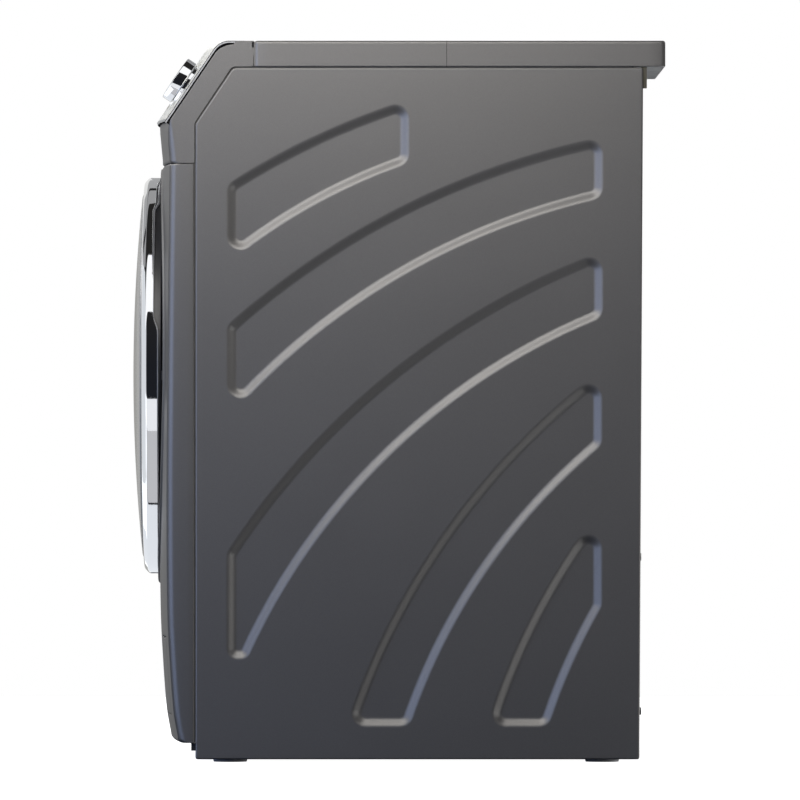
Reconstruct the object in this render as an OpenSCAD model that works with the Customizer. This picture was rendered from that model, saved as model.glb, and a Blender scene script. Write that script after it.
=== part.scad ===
// Front-loading washing machine, free standing, door closed.
// Millimetres. +Z is up and the front faces -Y, so +X is the viewer's right.
// The origin is on the floor at the centre of the overall box.

/* [Cabinet] */
// Overall width across the top plate
body_w = 600; // [598:1:602]
// Height of the top surface with the feet screwed home
body_h = 842; // [841:1:844]
// Thickness of the side panel sheet
sheet = 1; // [0.8:0.1:1.2]
// Depth of the curved stampings in the side panels
stamp_depth = 5; // [3:0.5:6]
// Gap between the floor and the lower edge of the panels
foot_gap = 4; // [3:0.5:5]

/* [Front] */
// How far the middle of the front stands ahead of its sides
bow_depth = 13; // [10:0.5:14]
// The same for the sloping control panel
panel_bow = 16; // [13:0.5:17]
// Corner radius between the front and the sides
corner_r = 8; // [6:0.5:9]
// Lean of the control panel back from vertical, in degrees
panel_lean = 34; // [33:0.5:35]

/* [Door] */
// Height of the door's centre
drum_z = 452; // [451:0.5:453]
// Outer radius of the chrome ring
ring_r = 235; // [234:0.5:235.5]
// Radius of the clear cover inside the ring
cover_r = 217; // [215:0.5:217.5]
// Foremost point of the domed cover, ahead of the origin
dome_front = 313; // [311:0.5:314]

/* [Drum and drive] */
// Outer radius of the drum
drum_r = 240; // [236:1:242]
// Radius of the drum pulley
pulley_r = 145; // [144:0.5:146]
// Radius of the motor pulley
motor_pulley_r = 10.5; // [10:0.25:11]

/* [Controls] */
// Diameter of the programme knob
knob_d = 54; // [50:1:54]
// Height of the knob's cap
knob_h = 13; // [11:0.5:14]
// Diameter of the round push buttons
button_d = 16; // [14:0.5:16]

/* [Hidden] */

// Cabinet planes
half_w = body_w / 2 - 1;
inner_w = half_w - 2.5;
base_z = foot_gap;
side_front = -235;
side_rear = 284.5;
side_top = 810.5;
chamfer_z = 745;
chamfer_y = -191;
rear_sheet_y = 281.4;
rear_sheet_t = 1.2;
plate_front = -166.5;
plate_rear = 313;
plate_z = 812;
seam_z = 699;
flange = 12;

// Sloping control panel: its lower edge in the middle plane, and its rise per depth
lip_y = -284.7;
lip_z = 751;
slope_top_z = 832;
slope_run = tan(panel_lean);
fascia_t = 1.8;
knob_v = 49;
knob_seat_r = 24.5;
button_v = [70, 30];
housing_t = 2.5;
panel_weight = panel_bow / bow_depth;

// Drawer, display and control places along the panel
drawer_x = [-282.5, -109.5];
drawer_z = [758.5, 821.5];
window_x = [-85, 168];
window_z = [765, 818];
knob_x = 245;
button_x = 192;
gap = 1;

// Door places
ring_front = -300.5;
pocket_y = 262;
ring_back = -279.5;
hinge_x = -244;
hinge_y = -284.5;
hinge_screw_x = -257;
hook_x = 213;
hook_y = -283;

// Tub, shaft and motor places
tub_r = 268;
tub_wall = 3;
motor_x = -60;
motor_z = 122;
filter_x = 210;
filter_z = 100;
flap_y = -266;
flap_z = 60;
foot_x = 245;
foot_y = [-195, 240];
spring_x = 225;
spring_y = 60;
damper_x = 185;
damper_y = 30;
outlet_x = 235;
outlet_z = 712;
inlet_x = -200;
inlet_z = 760;
gland_x = 245;
gland_z = 600;
transit_places = [[-165, 690], [165, 690], [-150, 230], [150, 230]];
rear_screws = [for (x = [-280, 280], z = [60, 240, 420, 600]) [x, z]];

// Stamped bands of the side panels. Each has an upper and a lower arc given by its
// front end, its rear end and its radius, as [y, z] points, and the rest are corners.
bands = [
  [[[-193, 671], [9, 766], 870], [[-193, 592], [9, 703], 680], []],
  [[[-193, 507], [235, 723], 930], [[-193, 414], [235, 663], 830], []],
  [[[-193, 243], [235, 589], 895], [[-178, 126], [235, 523], 775], [[-193, 126]]],
  [[[-52, 47], [234, 448], 845], [[11, 47], [234, 373], 730], []],
  [[[112, 47], [234, 284], 785], [[173, 47], [234, 184], 735], []]
];

// ---------- Plane geometry ----------

function unit(v) = v / norm(v);
function normal_of(a, b) = let (d = unit(b - a)) [-d[1], d[0]];
function flat2(p) = [p[0], p[1]];

// Point i of path p moved by t along the path's left-hand normal
function offset_point(p, i, t) =
  let (
    here = flat2(p[i]),
    ahead = i < len(p) - 1 ? normal_of(here, flat2(p[i + 1])) : normal_of(flat2(p[i - 1]), here),
    behind = i > 0 ? normal_of(flat2(p[i - 1]), here) : ahead,
    middle = unit(ahead + behind)
  ) here + middle * t / (middle * ahead);

// n + 1 points of the arc of radius r from a to b that bulges to the left
function arc_points(a, b, r, n) =
  let (
    chord = b - a,
    right = [chord[1], -chord[0]] / norm(chord),
    centre = (a + b) / 2 + right * sqrt(r * r - chord * chord / 4),
    first = atan2(a[1] - centre[1], a[0] - centre[0]),
    last = atan2(b[1] - centre[1], b[0] - centre[0])
  ) [for (i = [0 : n]) let (a = first + (last - first) * i / n) centre + r * [cos(a), sin(a)]];

function reversed(list) = [for (i = [len(list) - 1 : -1 : 0]) list[i]];

// ---------- Bowed sheets ----------

// Set-back of the front at x, and the extra set-back where the corner rounds
function bow(x) = bow_depth * pow(x / half_w, 2);
function rounding(x, edge, r) =
  let (into = abs(x) - (edge - r)) into <= 0 ? 0 : r - sqrt(max(0, r * r - into * into));

// Depth of the control panel's face at height z and across x, inset behind it
function slope_y(x, z, inset) = lip_y + (z - lip_z) * slope_run + inset + panel_bow * pow(x / half_w, 2);

// Stations across the front, closer together in the rounded corners
function stations(edge, r) =
  let (
    right = [for (a = [90 : -30 : 0]) edge - r + r * cos(a)],
    half = concat([for (i = [0 : 4]) i * (edge - r) / 5], right)
  ) concat([for (x = reversed(half)) -x], [for (i = [1 : len(half) - 1]) half[i]]);

// Closed sheet between an outer and an inner grid of points. Each grid is a list of
// stations and each station a list of points, the same count in both.
module sheet_between(outer, inner) {
  rows = len(outer);
  cols = len(outer[0]);
  half = rows * cols;
  points = concat([for (row = outer) for (p = row) p], [for (row = inner) for (p = row) p]);
  function at(k, i) = k * cols + i;
  function quad(a, b, c, d) = [[a, b, c], [a, c, d]];
  faces = concat(
    [for (k = [0 : rows - 2]) for (i = [0 : cols - 2])
      [at(k, i), at(k + 1, i), at(k + 1, i + 1), at(k, i + 1)]],
    [for (k = [0 : rows - 2]) for (i = [0 : cols - 2])
      [half + at(k, i), half + at(k, i + 1), half + at(k + 1, i + 1), half + at(k + 1, i)]],
    [for (k = [0 : rows - 2]) each quad(at(k, 0), half + at(k, 0), half + at(k + 1, 0), at(k + 1, 0))],
    [for (k = [0 : rows - 2]) let (i = cols - 1)
      each quad(at(k, i), at(k + 1, i), half + at(k + 1, i), half + at(k, i))],
    [for (i = [0 : cols - 2]) each quad(at(0, i), at(0, i + 1), half + at(0, i + 1), half + at(0, i))],
    [for (i = [0 : cols - 2]) let (k = rows - 1)
      each quad(at(k, i), half + at(k, i), half + at(k, i + 1), at(k, i + 1))]
  );
  polyhedron(points = points, faces = faces, convexity = 8);
}

// Full-width sheet. Path points are [y, z, share of the bow, share of the corner rounding].
module bowed_sheet(path, t) {
  outer_x = stations(half_w, corner_r);
  inner_x = [for (x = outer_x) x * (half_w - t) / half_w];
  inner_r = corner_r - t / 2;
  sheet_between(
    [for (x = outer_x) [for (p = path)
      [x, p[0] + p[2] * bow(x) + p[3] * rounding(x, half_w, corner_r), p[1]]]],
    [for (x = inner_x) [for (i = [0 : len(path) - 1]) let (p = path[i], q = offset_point(path, i, t))
      [x, q[0] + p[2] * bow(x) + p[3] * rounding(x, half_w - t, inner_r), q[1]]]]
  );
}

// Part-width sheet between two x places, its thickness measured along Y
module bowed_strip(path, t, span) {
  xs = [for (i = [0 : 6]) span[0] + (span[1] - span[0]) * i / 6];
  sheet_between(
    [for (x = xs) [for (p = path) [x, p[0] + p[2] * bow(x), p[1]]]],
    [for (x = xs) [for (p = path) [x, p[0] + p[2] * bow(x) + t, p[1]]]]
  );
}

// Two-point path up the control panel's face, inset behind it
function slope_path(z_span, inset) =
  [for (z = [z_span[1], z_span[0]]) [slope_y(0, z, inset), z, panel_weight, 0]];

// ---------- Placing helpers ----------

// Extrudes a [y, z] outline from x0 to x1
module from_side(x0, x1) translate([x0, 0, 0]) rotate([90, 0, 90]) linear_extrude(x1 - x0) children();

// Stands children on the drum's axis, their +Z turned to +Y
module on_drum_axis() translate([0, 0, drum_z]) rotate([-90, 0, 0]) children();

// Solid of revolution about the drum's axis from [radius, y] points
module turned(profile) on_drum_axis() rotate_extrude($fn = 120) polygon(profile);

// Ring about the drum's axis
module axis_ring(r_out, r_in, y0, y1) turned([[r_in, y0], [r_out, y0], [r_out, y1], [r_in, y1]]);

// Cylinder along Y from y0 to y1
module y_rod(x, z, r, y0, y1) {
  translate([x, y0, z]) rotate([-90, 0, 0]) cylinder(h = y1 - y0, r = r, $fn = 48);
}

// Box from its lowest to its highest corner
module box(low, high) translate(low) cube(high - low);

// Places children on the control panel's face: x across, v up the slope, +Z outwards
module on_slope(x, v) {
  translate([x, slope_y(x, lip_z, 0), lip_z]) rotate([90 - panel_lean, 0, 0]) translate([0, v, 0]) children();
}

module both_sides() {
  children();
  mirror([1, 0, 0]) children();
}

// Round hose along hand-placed points, filled, with its ends square. The direction
// beside is never along the hose, and steadies its rings.
module hose(points, r, beside) {
  sides = 10;
  function heading(i) = unit(points[min(i + 1, len(points) - 1)] - points[max(i - 1, 0)]);
  rings = [for (i = [0 : len(points) - 1]) let (d = heading(i), u = unit(cross(d, beside)), v = cross(d, u))
    for (k = [0 : sides - 1]) points[i] + r * (u * cos(360 * k / sides) + v * sin(360 * k / sides))];
  last = (len(points) - 1) * sides;
  polyhedron(points = rings, faces = concat(
    [[for (k = [0 : sides - 1]) k]],
    [[for (k = [sides - 1 : -1 : 0]) last + k]],
    [for (i = [0 : len(points) - 2]) for (k = [0 : sides - 1])
      [i * sides + k, (i + 1) * sides + k, (i + 1) * sides + (k + 1) % sides, i * sides + (k + 1) % sides]]
  ), convexity = 6);
}

// ---------- Cabinet ----------

module side_outline() {
  polygon([
    [side_front, base_z], [side_rear, base_z], [side_rear, side_top],
    [chamfer_y, side_top], [side_front, chamfer_z]
  ]);
}

module band_outline(band) {
  offset(r = 10, $fn = 16) offset(delta = -10)
    polygon(concat(
      arc_points(band[0][0], band[0][1], band[0][2], 9),
      reversed(arc_points(band[1][0], band[1][1], band[1][2], 9)),
      band[2]
    ));
}

module side_panel() {
  color("dimgray") {
    from_side(half_w - sheet, half_w) difference() {
      side_outline();
      for (band = bands) offset(delta = -sheet) band_outline(band);
    }
    for (band = bands) {
      from_side(half_w - stamp_depth - sheet, half_w) difference() {
        band_outline(band);
        offset(delta = -sheet) band_outline(band);
      }
      from_side(half_w - stamp_depth - sheet, half_w - stamp_depth) band_outline(band);
    }
    from_side(half_w - flange, half_w) difference() {
      side_outline();
      offset(delta = -sheet) side_outline();
    }
  }
}

module side_panel_right() side_panel();

module side_panel_left() mirror([1, 0, 0]) side_panel();

// Square recess in the back that keeps a hose connection behind the machine's rear edge
module service_pocket(x, z, half, floor_y, wall) {
  rear_y = rear_sheet_y + rear_sheet_t + (wall > 0 ? 0 : 5);
  box([x - half - wall, floor_y, z - half - wall], [x + half + wall, rear_y, z + half + wall]);
}

module back_panel() {
  color("darkgray") difference() {
    union() {
      box([-inner_w + 15, rear_sheet_y, base_z + 3], [inner_w - 15, rear_sheet_y + rear_sheet_t, 808]);
      both_sides() box([280, rear_sheet_y, base_z + 3], [inner_w - 0.8, rear_sheet_y + rear_sheet_t, 808]);
      box([-281, 268, 807], [281, rear_sheet_y + rear_sheet_t, 808.2]);
      for (z = [330, 570]) box([-170, 277, z], [170, rear_sheet_y + 0.5, z + 8]);
      service_pocket(inlet_x, inlet_z, 30, pocket_y, rear_sheet_t);
      service_pocket(outlet_x, outlet_z, 24, pocket_y, rear_sheet_t);
    }
    service_pocket(inlet_x, inlet_z, 30, pocket_y + rear_sheet_t, 0);
    service_pocket(outlet_x, outlet_z, 24, pocket_y + rear_sheet_t, 0);
    for (p = transit_places) y_rod(p[0], p[1], 11.2, 260, 300);
    for (p = rear_screws) y_rod(p[0], p[1], 2, 260, 300);
    y_rod(inlet_x, inlet_z, 14.5, 260, 300);
    y_rod(outlet_x, outlet_z, 12, 260, 300);
    y_rod(gland_x, gland_z, 7.2, 260, 300);
  }
}

module base_tray() {
  floor_z = foot_gap + 10;
  color("slategray") difference() {
    union() {
      box([-inner_w, -233, floor_z], [inner_w, 280, floor_z + 1.2]);
      both_sides() box([inner_w - 1.2, -233, base_z + 2], [inner_w, 280, 40]);
      box([-inner_w, 278.8, base_z + 2], [inner_w, 280, 40]);
      box([-inner_w, -233, base_z + 2], [inner_w, -231.8, 40]);
      box([-inner_w, -240, floor_z], [inner_w, side_front - 0.4, floor_z + 8]);
      box([-284, -240, floor_z], [284, -232, floor_z + 8]);
      for (x = [-foot_x, foot_x], y = foot_y) translate([x, y, floor_z]) cylinder(h = 9, r = 14, $fn = 48);
    }
    for (x = [-foot_x, foot_x], y = foot_y) translate([x, y, 0]) cylinder(h = 60, r = 5.08, $fn = 48);
  }
}

// Front panel's face in the middle plane, from the seam down to the lower return
front_path = [
  [-237, seam_z - 0.5, 0, 0], [-275.7, seam_z - 0.5, 1, 1], [-277.7, seam_z - 2.5, 1, 1],
  [-280.5, drum_z, 1, 1], [-280.5, 182, 1, 1], [-277.4, 114, 1, 1], [-273.9, 66, 1, 1],
  [-271.4, 47, 1, 1], [-268.8, 34, 1, 1],
  [-266, 28, 1, 1], [-259, 24, 1, 1], [-237, 24, 0, 0]
];
front_t = 1.5;
boss_h = 2.5;
boss_r = 245;
dish_r = 238;

// Solid that follows the front's bow, standing boss_h ahead of it, depth thick
module boss_stock(depth) {
  translate([0, -boss_h, 0]) bowed_strip(
    [[-278.2, 697.5, 1, 0], [-280.5, drum_z, 1, 0], [-280.5, 190, 1, 0]], depth, [-260, 260]);
}

module front_panel() {
  edge = [for (p = front_path) [p[0] + p[2] * bow_depth + p[3] * corner_r, p[1]]];
  color("dimgray") difference() {
    union() {
      difference() {
        bowed_sheet(front_path, front_t);
        axis_ring(dish_r + 0.8, 0, -300, -230);
        box([163.5, -300, 53], [256.5, -240, 147]);
      }
      both_sides() from_side(half_w - front_t, half_w) polygon(edge);
      intersection() {
        boss_stock(4);
        axis_ring(boss_r, dish_r + 0.5, -300, -250);
      }
      intersection() {
        boss_stock(18);
        axis_ring(dish_r + 1.5, dish_r, -300, -268);
      }
      turned([
        [dish_r + 1.5, -271.5], [190, -259], [186, -250], [187.4, -249.6], [190.8, -257.6],
        [dish_r + 1.5, -269.8]
      ]);
      for (x = [157.5, 257]) box([x, -269, 54], [x + 5.5, -262, 66]);
    }
    box([203, -290, drum_z - 14], [224, -240, drum_z + 14]);
    box([-263, -290, drum_z - 46], [-226, -272, drum_z + 46]);
    for (z = [-20, 20]) y_rod(hinge_screw_x, drum_z + z, 2.6, -280, -260);
    translate([150, flap_y, flap_z]) rotate([0, 90, 0]) cylinder(h = 120, r = 2.06, $fn = 32);
  }
}

// Control housing's face in the middle plane, from the top seam down to the front panel
housing_path = [
  [plate_front - 0.5, body_h - 0.3, 0, 0], [-202.8, body_h - 0.3, panel_weight, 0],
  [-203.4, body_h - 2.8, panel_weight, 0], [-212.6, body_h - 3.1, panel_weight, 0],
  [-220.8, body_h - 5.6, panel_weight, 0], [-227.7, slope_top_z - 1.5, panel_weight, 0],
  [lip_y + 2.8, lip_z - 0.8, panel_weight, 0], [lip_y + 3.1, 746.5, panel_weight, 0],
  [-277.7, 707, 1, 1], [-277.7, seam_z + 2, 1, 1], [-276.2, seam_z + 0.5, 1, 1], [-237, seam_z + 0.5, 0, 0]
];

// Openings for the drawer, the knob and the buttons, alike in the housing and the fascia
module panel_cutouts(knob_hole_r) {
  box([drawer_x[0] - gap, -300, drawer_z[0] - gap], [drawer_x[1] + gap, -215, drawer_z[1] + gap]);
  on_slope(knob_x, knob_v) translate([0, 0, -30]) cylinder(h = 60, r = knob_hole_r, $fn = 48);
  for (v = button_v) on_slope(button_x, v) translate([0, 0, -30])
    cylinder(h = 60, d = button_d + 0.8, $fn = 48);
}

module control_housing() {
  edge = [for (p = housing_path) [p[0] + p[2] * bow_depth + p[3] * corner_r, p[1]]];
  color("dimgray") difference() {
    union() {
      bowed_sheet(housing_path, housing_t);
      both_sides() from_side(half_w - housing_t, half_w) polygon(concat(edge, [
        [side_front - 2, chamfer_z + 0.6], [chamfer_y - 1.4, side_top + 1.8],
        [plate_front - 0.5, side_top + 1.8]
      ]));
    }
    panel_cutouts(knob_seat_r + 0.7);
  }
}

fascia_path = [
  [-205, body_h, panel_weight, 0], [-213, body_h - 0.4, panel_weight, 0],
  [-222, body_h - 3.3, panel_weight, 0], [slope_y(0, slope_top_z, 0), slope_top_z, panel_weight, 0],
  [lip_y, lip_z, panel_weight, 0],
  [lip_y + 0.8, lip_z - 2.4, panel_weight, 0]
];

module control_fascia() {
  color("gainsboro") difference() {
    union() {
      bowed_sheet(fascia_path, fascia_t);
      on_slope(knob_x, knob_v) translate([0, 0, -5]) cylinder(h = 7.4, r = knob_seat_r, $fn = 64);
    }
    panel_cutouts(3.4);
    box([window_x[0] - 0.3, -300, window_z[0] - 0.3], [window_x[1] + 0.3, -215, window_z[1] + 0.3]);
  }
}

module display_window() {
  color("black") bowed_strip(slope_path(window_z, 0), 2.4, window_x);
}

module top_plate() {
  rear_r = 4;
  color("dimgray") difference() {
    from_side(-body_w / 2, body_w / 2) polygon(concat(
      [[plate_front, plate_z], [plate_rear, plate_z]],
      [for (a = [0 : 30 : 90]) [plate_rear - rear_r + rear_r * cos(a), body_h - rear_r + rear_r * sin(a)]],
      [[plate_front, body_h]]
    ));
    box([-body_w / 2 + 4, plate_front + 4, plate_z - 1], [body_w / 2 - 4, plate_rear - 4, body_h - 5]);
  }
}

module rear_clips() {
  color("dimgray") both_sides() difference() {
    union() {
      box([266, side_rear + 0.3, 787], [296, side_rear + 2.3, 811]);
      box([266, side_rear + 0.3, 787], [296, 291.5, 789.5]);
      box([266, side_rear + 0.3, 803], [269, 291.5, 811.5]);
      box([293, side_rear + 0.3, 787], [296, 291.5, 811.5]);
    }
    y_rod(281, 799, 2.2, 280, 295);
  }
}

module cross_braces() {
  color("silver") {
    difference() {
      box([-inner_w + 0.5, 45, 784], [inner_w - 0.5, 75, 800]);
      box([-inner_w - 1, 47, 783], [inner_w + 1, 73, 798]);
    }
    both_sides() box([spring_x - 12, 46, 784], [spring_x + 12, 74, 786]);
    difference() {
      box([-inner_w + 1, -160, 801], [inner_w - 1, -135, 808]);
      box([-inner_w, -158.5, 800], [inner_w, -136.5, 806.5]);
    }
  }
}

module door_gasket() {
  color("gray") turned([
    [189, -262], [184.3, -260.5], [184.3, -249], [194, -246], [198, -240], [194, -232], [188.5, -227],
    [188.5, -213.5], [184.8, -213.5], [184.8, -229], [190, -234], [193.5, -240], [190, -243], [178, -247],
    [176, -255], [167, -263], [174, -266.5], [189, -265]
  ]);
}

module hinge_bracket() {
  color("silver") difference() {
    union() {
      box([-268, -276, drum_z - 45], [-239.5, -272.4, drum_z + 45]);
      for (z = [-37, 27.5]) {
        box([hinge_x - 4.5, hinge_y, drum_z + z], [hinge_x + 4.5, -275, drum_z + z + 9.5]);
        translate([hinge_x, hinge_y, drum_z + z]) cylinder(h = 9.5, r = 4.5, $fn = 48);
      }
    }
    translate([hinge_x, hinge_y, drum_z - 60]) cylinder(h = 120, r = 2.56, $fn = 48);
    for (z = [-20, 20]) y_rod(hinge_screw_x, drum_z + z, 2.6, -280, -270);
  }
}

module door_lock() {
  color("black") difference() {
    box([200, -256.5, drum_z - 27], [246, -226, drum_z + 28]);
    box([203, -260, drum_z - 14], [224, -232, drum_z + 14]);
  }
}

// ---------- Water, electrics and suspension inside the cabinet ----------

module dispenser_housing() {
  low = [-286.5, -226, 757];
  high = [-104, -14, 800];
  color("white") difference() {
    union() {
      box(low, high);
      translate([-190, -60, 744]) cylinder(h = 14, r = 14, $fn = 48);
    }
    box([low[0] + 2.5, low[1] - 1, low[2] + 2.5], [high[0] - 2.5, high[1] - 2.5, high[2] - 2]);
    translate([-190, -60, 740]) cylinder(h = 25, r = 11, $fn = 48);
  }
}

module inlet_valve() {
  color("white") {
    box([inlet_x - 25, 205, inlet_z - 25], [inlet_x + 25, 252, inlet_z + 20]);
    y_rod(inlet_x, inlet_z, 18, 251, pocket_y - 0.4);
    y_rod(inlet_x, inlet_z, 13.2, 260, 284);
    y_rod(inlet_x, inlet_z + 8, 7, -13.6, 206);
  }
}

module control_board() {
  color("darkgreen") difference() {
    union() {
      on_slope(0, 0) {
        translate([-90, 18, -20]) cube([355, 62, 2]);
        translate([-60, 24, -18.2]) cube([200, 44, 8]);
      }
      on_slope(knob_x, knob_v) translate([-8, -8, -21]) cube([16, 16, 9]);
    }
    on_slope(knob_x, knob_v) translate([0, 0, -40]) cylinder(h = 60, r = 3.4, $fn = 32);
  }
}

module drain_pump() {
  color("white") difference() {
    union() {
      y_rod(filter_x, filter_z, 32, -232, -113);
      y_rod(filter_x, filter_z, 28, -114, -60);
      translate([148, -175, filter_z]) rotate([0, 90, 0]) cylinder(h = 40, r = 14, $fn = 48);
      translate([filter_x, -129, filter_z]) cylinder(h = 60, r = 11, $fn = 48);
      box([filter_x - 20, -215, 15.5], [filter_x + 20, -75, filter_z - 20]);
    }
    y_rod(filter_x, filter_z, 28.5, -240, -140);
    y_rod(filter_x, filter_z, 26, -141, -118);
    y_rod(filter_x, filter_z, 3.06, -119, -98);
    translate([140, -175, filter_z]) rotate([0, 90, 0]) cylinder(h = 60, r = 11, $fn = 48);
    translate([filter_x, -129, filter_z]) cylinder(h = 80, r = 8, $fn = 48);
  }
}

drain_route = [
  [210, -129, 160.5], [210, -129, 172], [222, -108, 188], [245, -60, 192], [258, 20, 192], [262, 120, 192],
  [265, 192, 196], [268, 222, 215], [268, 234, 250], [268, 236, 330], [268, 236, 500], [268, 236, 640],
  [266, 236, 680], [258, 237, 700], [246, 242, 710],
  [outlet_x + 3, 252, outlet_z], [outlet_x, 260, outlet_z]
];

module drain_hose() {
  color("gray") {
    hose(drain_route, 9, [1, 0, 0]);
    y_rod(outlet_x, outlet_z, 10.5, 259, 284);
  }
}

sump_route = [
  [60, -60, 163.5], [60, -60, 150], [62, -68, 134], [70, -92, 116], [88, -128, 104], [110, -160, 101],
  [130, -175, 100], [147.5, -175, 100]
];

module sump_hose() {
  color("dimgray") hose(sump_route, 14, [1, 1, 0]);
}

fill_route = [
  [-190, -60, 743.5], [-190, -60, 735], [-183, -60, 722], [-170, -60, 716], [-157, -60, 711],
  [-150, -60, 700], [-150, -60, 690.5]
];

module fill_hose() {
  color("dimgray") hose(fill_route, 12, [0, 1, 0]);
}

module transit_caps() {
  color("gray") for (p = transit_places) {
    y_rod(p[0], p[1], 15, rear_sheet_y + 1.3, rear_sheet_y + 4);
    y_rod(p[0], p[1], 10.8, 272, rear_sheet_y + 2);
  }
}

module mains_gland() {
  color("black") difference() {
    union() {
      y_rod(gland_x, gland_z, 11, rear_sheet_y + 1.4, 285.2);
      y_rod(gland_x, gland_z, 7, 265, 284);
      y_rod(gland_x, gland_z, 10, 263.2, 266.2);
    }
    y_rod(gland_x, gland_z, 4, 260, 300);
  }
}

module suspension_springs() {
  color("silver") both_sides() translate([spring_x, spring_y, 634]) {
    translate([0, 0, 18]) cylinder(h = 110, r = 9, $fn = 32);
    cylinder(h = 149.5, r = 2, $fn = 24);
  }
}

module damper_cylinders() {
  color("black") both_sides() translate([damper_x, damper_y, 15.5]) difference() {
    union() {
      cylinder(h = 135, r = 13, $fn = 48);
      translate([-18, -12, 0]) cube([36, 24, 4]);
    }
    translate([0, 0, 9]) cylinder(h = 140, r = 7, $fn = 48);
  }
}

module cabinet_screws() {
  color("silver") {
    for (p = rear_screws) {
      y_rod(p[0], p[1], 4.5, rear_sheet_y + 1.3, rear_sheet_y + 3.8);
      y_rod(p[0], p[1], 1.8, 272, rear_sheet_y + 2);
    }
    both_sides() {
      y_rod(281, 799, 4.5, side_rear + 2.4, 290.5);
      y_rod(281, 799, 1.8, 283, side_rear + 3);
    }
    for (z = [-20, 20]) y_rod(hinge_screw_x, drum_z + z, 2.4, -278, -266);
  }
}

module foot(x, y) {
  color("black") translate([x, y, 0]) {
    cylinder(h = 7, r = 20, $fn = 48);
    translate([0, 0, 6]) cylinder(h = 5.5, r = 10, $fn = 6);
    translate([0, 0, 6]) cylinder(h = 44, r = 5, $fn = 48);
  }
}

module foot_front_left() foot(-foot_x, foot_y[0]);

module foot_front_right() foot(foot_x, foot_y[0]);

module foot_rear_left() foot(-foot_x, foot_y[1]);

module foot_rear_right() foot(foot_x, foot_y[1]);

module service_flap() {
  color("dimgray") {
    bowed_strip([
      [-278.4, 145.5, 1, 0], [-277.4, 114, 1, 0], [-273.9, 66, 1, 0], [-272.6, 55.5, 1, 0]
    ], 2, [165, 255]);
    box([165, flap_y - 2, flap_z - 2.5], [255, flap_y + 2.5, flap_z + 2.5]);
    translate([158, flap_y, flap_z]) rotate([0, 90, 0]) cylinder(h = 104, r = 2, $fn = 32);
  }
}

module pump_filter() {
  color("gray") difference() {
    union() {
      y_rod(filter_x, filter_z, 27.9, -234, -150);
      y_rod(filter_x, filter_z, 34, -238, -233);
      box([filter_x - 26, -256, filter_z - 5], [filter_x + 26, -237, filter_z + 5]);
    }
    y_rod(filter_x, filter_z, 24, -225, -140);
    for (a = [0 : 60 : 120]) translate([filter_x, 0, filter_z]) rotate([0, a, 0])
      box([-40, -218, -6], [40, -160, 6]);
  }
}

module pump_impeller() {
  color("white") {
    y_rod(filter_x, filter_z, 8, -137, -119.5);
    y_rod(filter_x, filter_z, 3, -120, -100);
    y_rod(filter_x, filter_z, 23, -122.5, -120);
    for (a = [0 : 60 : 120]) translate([filter_x, 0, filter_z]) rotate([0, a, 0])
      box([-22, -136, -1.2], [22, -121, 1.2]);
  }
}

// ---------- Tub ----------

module tub_front() {
  color("gainsboro") difference() {
    union() {
      axis_ring(tub_r, tub_r - tub_wall, -212, -30);
      axis_ring(tub_r + 7, tub_r - tub_wall, -36, -30);
      axis_ring(tub_r, 180, -212, -208.5);
      axis_ring(184.2, 181, -224, -209);
      translate([60, -60, 164]) cylinder(h = 28, r = 17, $fn = 48);
      translate([-150, -60, 660]) cylinder(h = 30, r = 14, $fn = 48);
    }
    translate([60, -60, 150]) cylinder(h = 80, r = 13, $fn = 48);
    translate([-150, -60, 640]) cylinder(h = 60, r = 11, $fn = 48);
    axis_ring(tub_r - tub_wall, 0, -208.5, 0);
  }
}

module tub_rear() {
  color("gainsboro") difference() {
    union() {
      axis_ring(tub_r, tub_r - tub_wall, -29.7, 150);
      axis_ring(tub_r + 7, tub_r - tub_wall, -29.7, -24);
      axis_ring(tub_r, 40, 146, 150);
      axis_ring(45, 20, 123.4, 186);
      on_drum_axis() for (a = [15 : 45 : 359]) rotate([0, 0, a]) box([43, -2, 149], [256, 2, 172]);
      both_sides() {
        box([spring_x - 8, 50, 585], [spring_x + 8, 70, 632]);
        box([damper_x - 11, damper_y - 11, 236.3], [damper_x + 11, damper_y + 11, 268]);
      }
      box([motor_x - 34, 92, 184.3], [motor_x + 34, 142, 205]);
    }
    axis_ring(tub_r - tub_wall, 45.5, -20, 146);
    axis_ring(31.05, 0, 123, 148.2);
    axis_ring(20, 0, 120, 190);
    axis_ring(26.05, 0, 167.8, 190);
    box([-43, 140, 193], [43, 160, 211]);
  }
}

module front_counterweight() {
  color("lightgray") difference() {
    axis_ring(262, 202, -232, -212.4);
    box([190, -240, drum_z - 55], [270, -200, drum_z + 55]);
  }
}

module top_counterweight() {
  color("lightgray") difference() {
    box([-110, 5, 690], [110, 135, 742]);
    axis_ring(tub_r + 0.4, 0, 0, 140);
  }
}

module drum_bearings() {
  color("silver") {
    axis_ring(31, 15.06, 132, 148);
    axis_ring(26, 12.56, 168, 183);
  }
}

module shaft_seal() {
  color("black") axis_ring(30.9, 15.1, 124, 131.5);
}

module motor_housing() {
  color("darkgray") difference() {
    union() {
      y_rod(motor_x, motor_z, 56, 70, 188);
      y_rod(motor_x, motor_z, 60, 95, 160);
      box([motor_x - 34, 95, 150], [motor_x + 34, 140, 184]);
    }
    y_rod(motor_x, motor_z, 6.06, 84, 190);
  }
}

module drive_belt() {
  belt_gap = 0.5;
  belt_t = 3;
  motor_c = [motor_x, -(motor_z - drum_z)];
  module loop(extra) hull() {
    circle(r = pulley_r + extra, $fn = 120);
    translate(motor_c) circle(r = motor_pulley_r + extra, $fn = 32);
  }
  color("black") translate([0, 198, 0]) on_drum_axis() linear_extrude(14) difference() {
    loop(belt_gap + belt_t);
    loop(belt_gap);
  }
}

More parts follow.
